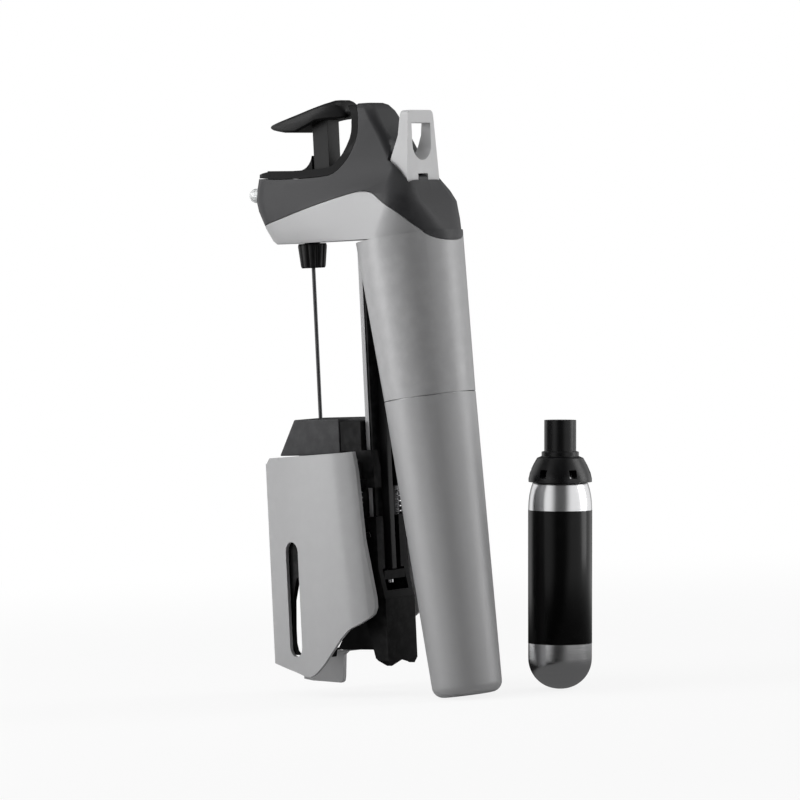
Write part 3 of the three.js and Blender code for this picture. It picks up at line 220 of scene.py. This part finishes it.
class Finish(Shading):
    """A material under construction."""

    def __init__(self, name, **constants):
        self.material = bpy.data.materials.new(name)
        self.material.use_nodes = True
        super().__init__(self.material.node_tree)
        self.shader = self.tree.nodes["Principled BSDF"]
        for socket, value in constants.items():
            self.shader.inputs[socket.replace("_", " ")].default_value = value

    def feed(self, socket, value):
        self.tree.links.new(value.socket, self.shader.inputs[socket])

    def place(self, scale=(1, 1, 1)):
        where = self.node("ShaderNodeTexCoord", output="Object")
        return self.node("ShaderNodeMapping", {}, {0: where, "Scale": scale})

    def noise(self, scale, detail, stretch=(1, 1, 1), rough=0.55):
        inputs = {"Vector": self.place(stretch), "Scale": scale, "Detail": detail, "Roughness": rough}
        return self.node("ShaderNodeTexNoise", {}, inputs)

    def blend(self, share, first, second):
        """Two colours, each a link or three numbers, mixed by the share."""
        inputs = {0: share}
        for socket, colour in zip(MIX_COLOURS, (first, second)):
            inputs[socket] = colour if isinstance(colour, Value) else (*colour, 1)
        return self.node("ShaderNodeMix", {"data_type": "RGBA"}, inputs, output=MIX_RESULT)

    def bump(self, height, depth, strength):
        return self.node("ShaderNodeBump", {}, {"Strength": strength, "Distance": depth, "Height": height})


def spread(value, low, high):
    """From low to high, as the value goes from nothing to one."""
    return value * (high - low) + low


def shade(colour, factor, lift=0.0):
    """A darker or lighter shade of a colour."""
    return tuple(min(1, c * factor + lift) for c in colour)


# Finishes
CLOUD_SCALE = 38
SCUFF_SCALE = 210
SCUFF_STOPS = [(0.42, 0.0), (0.66, 1.0)]
EDGE_STOPS = [(0.52, 0.0), (0.6, 1.0)]
SPECK_ROUGHNESS = 0.7
SATIN_GRAIN = 3600
SATIN_DEPTH = 0.012 * MM
COVER_DEPTH = 0.03 * MM
BLACK_GRAIN = 2400
BLACK_DEPTH = 0.025 * MM
CAP_DEPTH = 0.02 * MM
FILM_DEPTH = 0.008 * MM
METAL_CLOUD_SCALE = 60
RING_STRETCH = (0.02, 0.02, 1)
RING_DEPTH = 0.02 * MM
STREAK = 0.12
DUST_SCALE = 90
RUBBER_GRAIN = 2600
RUBBER_DEPTH = 0.03 * MM
HAZE_SCALE = 300
HAZE_DARK = (0.78, 0.8, 0.8)
HAZE_LIGHT = (0.9, 0.91, 0.91)
HAZE_DEPTH = 0.02 * MM
RAIL_CORE_FRONT = 30.6 * MM


def edge_wear(finish):
    """One on outward edges, nothing on flats and in corners."""
    return finish.ramp(finish.node("ShaderNodeNewGeometry", output="Pointiness"), EDGE_STOPS)


def moulded(name, colour, rough, grain, depth, shift, wear, gloss, metal=0.0):
    """Moulded or painted plastic: slight mottling, a fine grain, and edges rubbed a little smoother."""
    finish = Finish(name, Metallic=metal, Specular_IOR_Level=gloss)
    cloud = finish.noise(CLOUD_SCALE, detail=4)
    speck = finish.noise(grain, detail=2, rough=SPECK_ROUGHNESS)
    mottled = finish.blend(cloud, shade(colour, 1 - shift), shade(colour, 1 + shift))
    rubbed = shade(colour, 1 + wear, wear * 0.03)
    worn = edge_wear(finish)
    scuff = finish.ramp(finish.noise(SCUFF_SCALE, detail=5), SCUFF_STOPS)
    finish.feed("Base Color", finish.blend(worn * scuff, mottled, rubbed))
    satin = spread(cloud, rough - 0.05, rough + 0.05) + (speck - 0.5) * 0.1
    finish.feed("Roughness", satin - worn * 0.06)
    finish.feed("Normal", finish.bump(speck, depth, strength=0.6))
    return finish.material


def turned_metal(name, colour, rough, rings=2600):
    """Metal turned on a lathe: fine rings across the piece, uneven in shine."""
    finish = Finish(name, Metallic=1.0)
    ring = finish.noise(rings, detail=3, stretch=RING_STRETCH, rough=0.7)
    cloud = finish.noise(METAL_CLOUD_SCALE, detail=4)
    streaks = ring * 0.6 + cloud * 0.4
    finish.feed("Base Color", finish.blend(streaks, shade(colour, 1 - STREAK), shade(colour, 1 + STREAK)))
    finish.feed("Roughness", spread(ring, rough - 0.08, rough + 0.1) + (cloud - 0.5) * 0.08)
    finish.feed("Normal", finish.bump(ring, RING_DEPTH, strength=0.35))
    return finish.material


def rubbery(name, colour):
    """Dull rubber, dusty in places."""
    finish = Finish(name, Specular_IOR_Level=0.3)
    dust = finish.noise(DUST_SCALE, detail=5)
    finish.feed("Base Color", finish.blend(dust, colour, shade(colour, 1.5, lift=0.01)))
    finish.feed("Roughness", spread(dust, 0.7, 0.92))
    grain = finish.noise(RUBBER_GRAIN, detail=2)
    finish.feed("Normal", finish.bump(grain, RUBBER_DEPTH, strength=0.5))
    return finish.material


def milky(name):
    """Clear plastic with a light haze."""
    finish = Finish(name, Transmission_Weight=0.55, IOR=1.46)
    haze = finish.noise(HAZE_SCALE, detail=3)
    finish.feed("Base Color", finish.blend(haze, HAZE_DARK, HAZE_LIGHT))
    finish.feed("Roughness", spread(haze, 0.12, 0.26))
    finish.feed("Normal", finish.bump(haze, HAZE_DEPTH, strength=0.3))
    return finish.material


def rail_with_painted_shade(name, light, dark, core_front):
    """A light flange, and behind it a core painted near-black: painted shade for the deep recess between the
    flange and the handle.
    """
    finish = Finish(name, Metallic=0.1, Specular_IOR_Level=0.3)
    cloud = finish.noise(CLOUD_SCALE, detail=4)
    speck = finish.noise(SATIN_GRAIN, detail=2, rough=SPECK_ROUGHNESS)
    flange = finish.blend(cloud, shade(light, 0.96), shade(light, 1.04))
    # Painted shade: the core behind the flange gets a near-black colour that stands in for the shadow of its
    # recess.
    painted_core_shade = finish.blend(cloud, shade(dark, 0.8), shade(dark, 1.2))
    depth = finish.node("ShaderNodeSeparateXYZ", {}, {0: finish.place()}, output="Y")
    behind = finish.node("ShaderNodeMath", {"operation": "GREATER_THAN"}, {0: depth, 1: core_front})
    finish.feed("Base Color", finish.blend(behind, flange, painted_core_shade))
    finish.feed("Roughness", spread(cloud, 0.42, 0.52) + (speck - 0.5) * 0.1)
    finish.feed("Normal", finish.bump(speck, SATIN_DEPTH, strength=0.6))
    return finish.material


grey_body = moulded("satin_grey_casing", (0.348, 0.348, 0.353), rough=0.46, grain=SATIN_GRAIN,
                    depth=SATIN_DEPTH, shift=0.03, wear=0.1, gloss=0.5, metal=0.15)
grey_lock = moulded("pale_grey_lock", (0.56, 0.56, 0.565), rough=0.42, grain=3000,
                    depth=SATIN_DEPTH, shift=0.03, wear=0.08, gloss=0.4)
grey_cover = moulded("dark_grey_cover", (0.028, 0.028, 0.03), rough=0.44, grain=2200,
                     depth=COVER_DEPTH, shift=0.08, wear=0.3, gloss=0.2)
grey_guide = moulded("dark_grey_guide", (0.027, 0.027, 0.029), rough=0.44, grain=BLACK_GRAIN,
                     depth=COVER_DEPTH, shift=0.1, wear=0.4, gloss=0.18)
black_plastic = moulded("black_moulding", (0.004, 0.004, 0.0043), rough=0.42, grain=BLACK_GRAIN,
                        depth=BLACK_DEPTH, shift=0.15, wear=0.5, gloss=0.16)
dull_black = moulded("dull_black_moulding", (0.003, 0.003, 0.0033), rough=0.5, grain=BLACK_GRAIN,
                     depth=BLACK_DEPTH, shift=0.15, wear=0.5, gloss=0.08)
black_cap = moulded("black_cap_moulding", (0.004, 0.004, 0.0045), rough=0.3, grain=2600,
                    depth=CAP_DEPTH, shift=0.15, wear=0.6, gloss=0.28)
black_film = moulded("black_label_film", (0.0015, 0.0015, 0.0016), rough=0.22, grain=1800,
                     depth=FILM_DEPTH, shift=0.2, wear=0.4, gloss=0.2)
# The rail's rear core is painted near-black as shade.
grey_rail = rail_with_painted_shade("satin_grey_rail", light=(0.36, 0.36, 0.365), dark=(0.006, 0.006, 0.0065),
                      core_front=NEEDLE_Y + RAIL_CORE_FRONT)
bright_steel = turned_metal("bright_steel", (0.62, 0.62, 0.63), rough=0.22)
needle_steel = turned_metal("needle_steel", (0.07, 0.07, 0.072), rough=0.3, rings=1500)
capsule_steel = turned_metal("turned_capsule_steel", (0.72, 0.72, 0.73), rough=0.2, rings=3400)
machined = turned_metal("machined_aluminium", (0.7, 0.71, 0.72), rough=0.3)
warm_brass = turned_metal("turned_brass", (0.69, 0.5, 0.24), rough=0.28)
black_rubber = rubbery("black_rubber", (0.012, 0.012, 0.012))
clear_plastic = milky("milky_clear_plastic")

slot_finish = {
    "light_grey": grey_body,
    "rail_grey": grey_rail,
    "lock_grey": grey_lock,
    "cover_grey": grey_cover,
    "black": black_plastic,
    "capsule_black": black_cap,
    "steel": bright_steel,
    "capsule_steel": capsule_steel,
    "aluminium": machined,
    "brass": warm_brass,
    "rubber": black_rubber,
    "clear": clear_plastic,
}
own_finish = {"needle": needle_steel, "guide_block": grey_guide}
for node in ("carriage", "rail_strip_left", "rail_strip_right", "rail_stop", "trigger_frame",
             "jaw_liner_left", "jaw_liner_right"):
    own_finish[node] = dull_black
for node, obj in nodes.items():
    obj.data.materials.clear()
    obj.data.materials.append(own_finish.get(node, slot_finish[slot_of_node[node]]))


# Pieces
def pick_none():
    bpy.ops.object.select_all(action="DESELECT")


def pick(obj):
    pick_none()
    obj.select_set(True)
    bpy.context.view_layer.objects.active = obj


def apply_all(obj):
    """Make the modifiers part of the mesh."""
    pick(obj)
    for modifier in list(obj.modifiers):
        bpy.ops.object.modifier_apply(modifier=modifier.name)


def smooth_below(degrees):
    bpy.ops.object.shade_smooth_by_angle(angle=math.radians(degrees))


def settled():
    """The newest piece, with its place and turn moved into its mesh."""
    bpy.ops.object.transform_apply(location=True, rotation=True, scale=True)
    return bpy.context.object


def set_down(obj, place):
    """Leave the object at the origin, with its place in its mesh."""
    obj.data.transform(place)
    obj.matrix_world = Matrix.Identity(4)


def finish_piece(obj, name, material, node):
    """Name the piece, and give it its finish and its node's body."""
    obj.name = name
    obj.data.name = name
    obj.data.materials.clear()
    obj.data.materials.append(material)
    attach(obj, body_of_node[node])


# Dressed nodes: copies with smooth curves, and with edges broken by these millimetres
MERGE = 0.004 * MM
FLAT_ANGLE = 0.6
BREAK_ANGLE = 32
BREAK_SEGMENTS = 2
CURVE_ANGLE = 38
LARGE_FACES_LEAD = 70

broken_edges = {
    "body_shell": 0.0,
    "top_cover": 0.0,
    "trigger_frame": 0.2,
    "trigger": 0.5,
    "trigger_lock": 0.45,
    "needle_knob": 0.2,
    "rail": 0.3,
    "rail_stop": 0.3,
    "carriage": 0.35,
    "guide_block": 0.6,
    "jaw_shell_left": 0.5,
    "jaw_shell_right": 0.5,
    "jaw_liner_left": 0.3,
    "jaw_liner_right": 0.3,
    "handle_cup": 0.12,
    "pour_spout": 0.2,
    "capsule_cap": 0.15,
    "spare_capsule_cap": 0.15,
    "jaw_pin_left": 0.2,
    "jaw_pin_right": 0.2,
    "side_screw_left": 0.2,
    "side_screw_right": 0.2,
    "guide_bush": 0.1,
    "stop_screw": 0.1,
    "jaw_pad_left": 0.2,
    "jaw_pad_right": 0.2,
    "rail_strip_left": 0.2,
    "rail_strip_right": 0.2,
}


def merged_copy(source):
    """A copy of a node without its parent and marks, its triangles merged and its flats made whole."""
    pick_none()
    piece = source.copy()
    piece.data = source.data.copy()
    piece.parent = None
    for key in list(piece.keys()):
        del piece[key]
    bpy.context.scene.collection.objects.link(piece)
    pick(piece)
    bpy.ops.mesh.customdata_custom_splitnormals_clear()
    bpy.ops.object.mode_set(mode="EDIT")
    bpy.ops.mesh.select_all(action="SELECT")
    bpy.ops.mesh.remove_doubles(threshold=MERGE)
    bpy.ops.mesh.dissolve_limited(angle_limit=math.radians(FLAT_ANGLE))
    bpy.ops.object.mode_set(mode="OBJECT")
    return piece


def dress(node, edge):
    """Replace a node by its dressed copy."""
    source = nodes[node]
    piece = merged_copy(source)
    if edge:
        rounding = piece.modifiers.new("broken_edges", "BEVEL")
        rounding.width = edge * MM
        rounding.segments = BREAK_SEGMENTS
        rounding.limit_method = "ANGLE"
        rounding.angle_limit = math.radians(BREAK_ANGLE)
        rounding.use_clamp_overlap = True
        rounding.miter_outer = "MITER_SHARP"
        rounding.harden_normals = False
    apply_all(piece)
    smooth_below(CURVE_ANGLE)
    weight = piece.modifiers.new("even_shading", "WEIGHTED_NORMAL")
    weight.keep_sharp = True
    weight.weight = LARGE_FACES_LEAD
    apply_all(piece)
    finish_piece(piece, node + "_form", source.data.materials[0], node)
    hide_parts(node)


for node, edge in broken_edges.items():
    dress(node, edge)


# Gas capsules: a turned steel bottle with a black film around it
CAPSULE_RADIUS = 13.2 * MM
CAPSULE_SHOULDER = 74.5 * MM
CAPSULE_NECK_FOOT = 91.5 * MM
CAPSULE_NECK_RADIUS = 4.6 * MM
CAPSULE_NECK = 3.5 * MM
ROUND_FOOT_SHARE = 0.955
NECK_HOLLOW_SHARE = 0.6
FILM_FOOT = 18.9 * MM
FILM_TOP = 73.7 * MM
FILM_WALL = 0.08 * MM
FILM_THICKNESS = FILM_WALL * 0.8
FILM_EDGE = FILM_WALL * 0.3
CAPSULE_CURVE_ANGLE = 40
HANDLE_LEAN = math.radians(5.8)
LOADED_FOOT = 5.6 * MM
SPARE_FOOT = (-37.1 * MM, 19.8 * MM, -0.9 * MM)
SPARE_LEAN = (math.radians(-2.13), math.radians(-1.6), 0)
SPARE_PLACE = Matrix.Translation(SPARE_FOOT) @ Euler(SPARE_LEAN).to_matrix().to_4x4()
LOADED_PLACE = Matrix.Rotation(HANDLE_LEAN, 4, "X") @ Matrix.Translation((0, 0, LOADED_FOOT))


def choose(obj, test, kind="FACE"):
    """Select the faces or corners that pass a test of their place and normal, and enter edit mode."""
    pick(obj)
    bpy.ops.object.mode_set(mode="EDIT")
    bpy.ops.mesh.select_all(action="DESELECT")
    bpy.ops.object.mode_set(mode="OBJECT")
    if kind == "FACE":
        for face in obj.data.polygons:
            face.select = test(face.center, face.normal)
    else:
        for corner in obj.data.vertices:
            corner.select = test(corner.co, corner.normal)
    bpy.ops.object.mode_set(mode="EDIT")
    bpy.ops.mesh.select_mode(type=kind)


def is_foot(place, normal):
    return normal.z < -0.9


def is_top(place, normal):
    return normal.z > 0.99 and place.z > CAPSULE_NECK_FOOT * 0.99


def capsule_bottle(name, node, place):
    """A cylinder that gets a round foot, a drawn shoulder and a hollow neck."""
    steel = CAPSULE_RADIUS - FILM_WALL
    shoulder = steel - CAPSULE_NECK_RADIUS
    pick_none()
    bpy.ops.mesh.primitive_cylinder_add(vertices=72, radius=steel, depth=CAPSULE_NECK_FOOT,
                                        location=(0, 0, CAPSULE_NECK_FOOT / 2))
    bottle = settled()
    choose(bottle, is_foot)
    bpy.ops.mesh.bevel(offset=steel * ROUND_FOOT_SHARE, segments=14, profile=0.5, affect="EDGES")
    bpy.ops.object.mode_set(mode="OBJECT")
    choose(bottle, is_top)
    bpy.ops.mesh.bevel(offset=shoulder, segments=10, profile=0.5, affect="EDGES")
    bpy.ops.object.mode_set(mode="OBJECT")
    choose(bottle, lambda corner, normal: corner.z > CAPSULE_NECK_FOOT - shoulder * 1.02, "VERT")
    bpy.ops.transform.resize(value=(1, 1, (CAPSULE_NECK_FOOT - CAPSULE_SHOULDER) / shoulder),
                             center_override=(0, 0, CAPSULE_NECK_FOOT))
    bpy.ops.object.mode_set(mode="OBJECT")
    choose(bottle, is_top)
    bpy.ops.mesh.extrude_region_move(TRANSFORM_OT_translate={"value": (0, 0, CAPSULE_NECK)})
    bpy.ops.mesh.inset(thickness=CAPSULE_NECK_RADIUS * NECK_HOLLOW_SHARE)
    hollow = -CAPSULE_NECK * NECK_HOLLOW_SHARE
    bpy.ops.mesh.extrude_region_move(TRANSFORM_OT_translate={"value": (0, 0, hollow)})
    bpy.ops.object.mode_set(mode="OBJECT")
    smooth_below(CAPSULE_CURVE_ANGLE)
    set_down(bottle, place)
    finish_piece(bottle, name, capsule_steel, node)
    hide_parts(node)


def capsule_film(name, node, place):
    """A thin open sleeve around the bottle, in the body of the capsule's cap."""
    pick_none()
    bpy.ops.mesh.primitive_cylinder_add(vertices=96, radius=CAPSULE_RADIUS, depth=FILM_TOP - FILM_FOOT,
                                        end_fill_type="NOTHING",
                                        location=(0, 0, (FILM_TOP + FILM_FOOT) / 2))
    film = settled()
    bpy.ops.object.mode_set(mode="EDIT")
    bpy.ops.mesh.select_all(action="SELECT")
    bpy.ops.mesh.subdivide(number_cuts=1)
    bpy.ops.object.mode_set(mode="OBJECT")
    wall = film.modifiers.new("film_wall", "SOLIDIFY")
    wall.thickness = FILM_THICKNESS
    wall.offset = -1
    rounding = film.modifiers.new("film_edge", "BEVEL")
    rounding.width = FILM_EDGE
    rounding.segments = 2
    apply_all(film)
    smooth_below(CAPSULE_CURVE_ANGLE)
    set_down(film, place)
    finish_piece(film, name, black_film, node + "_cap")


for owner, place in (("capsule", LOADED_PLACE), ("spare_capsule", SPARE_PLACE)):
    capsule_bottle(owner + "_bottle", owner, place)
    capsule_film(owner + "_film", owner, place)


# Springs, wound from round wire
JAW_SPRING_X = 13.4 * MM
JAW_SPRING_Y = -42.2 * MM
JAW_SPRING_FOOT = 74.05 * MM
JAW_SPRING_TURNS = 5
JAW_SPRING_PITCH = 2.1 * MM
JAW_SPRING_RADIUS = 2.15 * MM
JAW_SPRING_WIRE = 0.45 * MM
JAW_SPRING_LEG = 0.95 * MM
VALVE_WIRE = 0.4 * MM
VALVE_TURNS = 6
PIVOT_WIRE = 0.28 * MM
PIVOT_TURNS = 3
STEPS_A_TURN = 32
WIRE_CURVE_ANGLE = 50
QUARTER_TURN = math.radians(90)


def wound_wire(radius, wire, turns, pitch, rising):
    """A coil with closed ends that stands around the Z axis, wound upwards or downwards."""
    pick_none()
    bpy.ops.mesh.primitive_circle_add(vertices=12, radius=wire, rotation=(QUARTER_TURN, 0, 0))
    coil = settled()
    bpy.ops.object.mode_set(mode="EDIT")
    bpy.ops.mesh.select_all(action="SELECT")
    bpy.ops.transform.translate(value=(radius, 0, 0 if rising else turns * pitch))
    bpy.ops.object.mode_set(mode="OBJECT")
    wind = coil.modifiers.new("winding", "SCREW")
    wind.axis = "Z"
    wind.angle = math.tau
    wind.steps = STEPS_A_TURN
    wind.render_steps = STEPS_A_TURN
    wind.iterations = turns
    wind.screw_offset = pitch if rising else -pitch
    wind.use_smooth_shade = True
    apply_all(coil)
    bpy.ops.object.mode_set(mode="EDIT")
    bpy.ops.mesh.select_all(action="SELECT")
    bpy.ops.mesh.remove_doubles(threshold=wire * 0.01)
    bpy.ops.mesh.select_all(action="DESELECT")
    bpy.ops.mesh.select_mode(type="EDGE")
    bpy.ops.mesh.select_non_manifold()
    bpy.ops.mesh.edge_face_add()
    bpy.ops.mesh.select_all(action="SELECT")
    bpy.ops.mesh.normals_make_consistent(inside=False)
    bpy.ops.object.mode_set(mode="OBJECT")
    return coil


def finish_spring(coil, node, place):
    """Put the coil in its place, instead of its node."""
    pick(coil)
    smooth_below(WIRE_CURVE_ANGLE)
    set_down(coil, place)
    finish_piece(coil, node + "_coil", bright_steel, node)
    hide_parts(node)


def jaw_spring(node, side):
    """A full coil of round wire with a short straight leg at each end."""
    coil = wound_wire(JAW_SPRING_RADIUS, JAW_SPRING_WIRE, JAW_SPRING_TURNS, JAW_SPRING_PITCH, side < 0)
    legs = []
    for foot in (-JAW_SPRING_LEG, JAW_SPRING_TURNS * JAW_SPRING_PITCH):
        pick_none()
        bpy.ops.mesh.primitive_cylinder_add(vertices=16, radius=JAW_SPRING_WIRE,
                                            depth=JAW_SPRING_LEG + JAW_SPRING_WIRE,
                                            location=(JAW_SPRING_RADIUS, 0, foot + JAW_SPRING_LEG / 2))
        leg = settled()
        round_end = leg.modifiers.new("round_end", "BEVEL")
        round_end.width = JAW_SPRING_WIRE * 0.6
        round_end.segments = 4
        apply_all(leg)
        legs.append(leg)
    pick(coil)
    for leg in legs:
        leg.select_set(True)
    bpy.ops.object.join()
    finish_spring(coil, node, Matrix.Translation((side * JAW_SPRING_X, JAW_SPRING_Y, JAW_SPRING_FOOT)))


def straight_spring(node, wire, turns, axis):
    """A coil that fills its node's box from end to end, along X or Z."""
    low, high = (Vector(corner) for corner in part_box(node))
    length = (high - low)[axis]
    across = (high - low).y / 2
    coil = wound_wire(across - wire, wire, turns, (length - wire * 2) / turns, True)
    start = (low + high) / 2
    start[axis] = low[axis] + wire
    turn = Matrix.Rotation(QUARTER_TURN, 4, "Y") if axis == 0 else Matrix.Identity(4)
    finish_spring(coil, node, Matrix.Translation(start) @ turn)
    return coil, low, length


jaw_spring("jaw_spring_left", -1)
jaw_spring("jaw_spring_right", 1)
straight_spring("trigger_spring", PIVOT_WIRE, PIVOT_TURNS, 0)
valve_coil, valve_foot, valve_length = straight_spring("valve_spring", VALVE_WIRE, VALVE_TURNS, 2)
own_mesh(valve_coil)


# Floor and light: glosses see white to the left and right, and a dark middle in front and behind
FLOOR_SIZE = 40
PAPER_GRAIN = 12
FLOOR_DARK = (0.84, 0.84, 0.84)
FLOOR_LIGHT = (0.87, 0.87, 0.87)
FLOOR_GLOW = 0.86
FADE_START = 0.2
FADE_END = 0.9
NEAR_START = 0.08
NEAR_END = 0.5
NEAR_CARD = 0.12
DARK_MIDDLE = [(0.3, 0.1), (0.62, 1.0)]
SOFT_FRONT = 0.14
SOFT_SIDE = 0.36
LAMP_AIM = Vector((0, NEEDLE_Y / 2, 0.13))


def stage():
    """A wide white floor that keeps the object's shadow."""
    bpy.ops.mesh.primitive_plane_add(size=FLOOR_SIZE, location=(0, 0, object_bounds()[0][2]))
    floor = bpy.context.object
    floor.name = "floor"
    paper = Finish("pale_floor", Specular_IOR_Level=0.0)
    grain = paper.noise(PAPER_GRAIN, detail=3)
    paper.feed("Base Color", paper.blend(grain, FLOOR_DARK, FLOOR_LIGHT))
    paper.feed("Roughness", spread(grain, 0.85, 0.95))
    where = paper.place()
    reach = paper.node("ShaderNodeVectorMath", {"operation": "LENGTH"}, {0: where}, output="Value")
    white = paper.node("ShaderNodeEmission", {}, {"Color": (1, 1, 1, 1), "Strength": 1.0})
    black = paper.node("ShaderNodeEmission", {}, {"Color": (0, 0, 0, 1), "Strength": 0.0})
    fade = paper.smooth_rise(reach, FADE_START, FADE_END, FLOOR_GLOW)
    plain = paper.larger(paper.ray("Is Camera Ray"), paper.ray("Is Transmission Ray"))
    seen = paper.mix(plain * fade, Value(paper, paper.shader.outputs[0]), white)
    aside = paper.unsigned(paper.along(where, view_right) / reach)
    # Near the device the glosses see the floor much darker: a painted shadow, for reflections of the floor
    # beneath it.
    cards = paper.ramp(aside, DARK_MIDDLE) * paper.smooth_rise(reach, NEAR_START, NEAR_END, NEAR_CARD)
    glossy = paper.mix(cards, black, white)
    shown = paper.mix(paper.ray("Is Glossy Ray"), seen, glossy)
    paper.tree.links.new(shown.socket, paper.tree.nodes["Material Output"].inputs["Surface"])
    floor.data.materials.append(paper.material)
    floor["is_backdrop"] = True


def lamp(name, offset, size, watts):
    """A soft panel aimed at the device, from steps to the right, up and towards the camera."""
    place = LAMP_AIM + view_right * offset[0] + Vector((0, 0, 1)) * offset[1] - view_away * offset[2]
    data = bpy.data.lights.new(name, "AREA")
    data.shape = "RECTANGLE"
    data.size, data.size_y = size
    data.energy = watts
    light = bpy.data.objects.new(name, data)
    light.location = place
    light.rotation_euler = (LAMP_AIM - place).to_track_quat("-Z", "Y").to_euler()
    bpy.context.scene.collection.objects.link(light)


def world_light():
    """White where the camera sees it, cards for the glosses, and a soft light from the sides for the rest."""
    world = bpy.data.worlds.new("studio")
    bpy.context.scene.world = world
    world.use_nodes = True
    world.node_tree.nodes.clear()
    sky = Shading(world.node_tree)

    def glow(strength):
        return sky.node("ShaderNodeBackground", {}, {"Color": (1, 1, 1, 1), "Strength": strength})

    aside = sky.unsigned(sky.along(sky.node("ShaderNodeTexCoord", output="Generated"), view_right))
    cards = sky.ramp(aside, DARK_MIDDLE)
    soft = sky.mix(cards, glow(SOFT_FRONT), glow(SOFT_SIDE))
    lit = sky.mix(sky.ray("Is Glossy Ray"), soft, glow(cards))
    plain = sky.larger(sky.ray("Is Camera Ray"), sky.ray("Is Transmission Ray"))
    sky.node("ShaderNodeOutputWorld", {}, {"Surface": sky.mix(plain, lit, glow(1.0))})


stage()
lamp("left_strip", offset=(-0.85, 0.2, 0.08), size=(0.5, 1.2), watts=7.2)
lamp("right_strip", offset=(0.85, 0.2, -0.05), size=(0.35, 1.2), watts=4.2)
lamp("top_panel", offset=(0.0, 1.0, 0.0), size=(0.9, 0.6), watts=2.5)
world_light()
bpy.context.scene.view_settings.view_transform = "Standard"
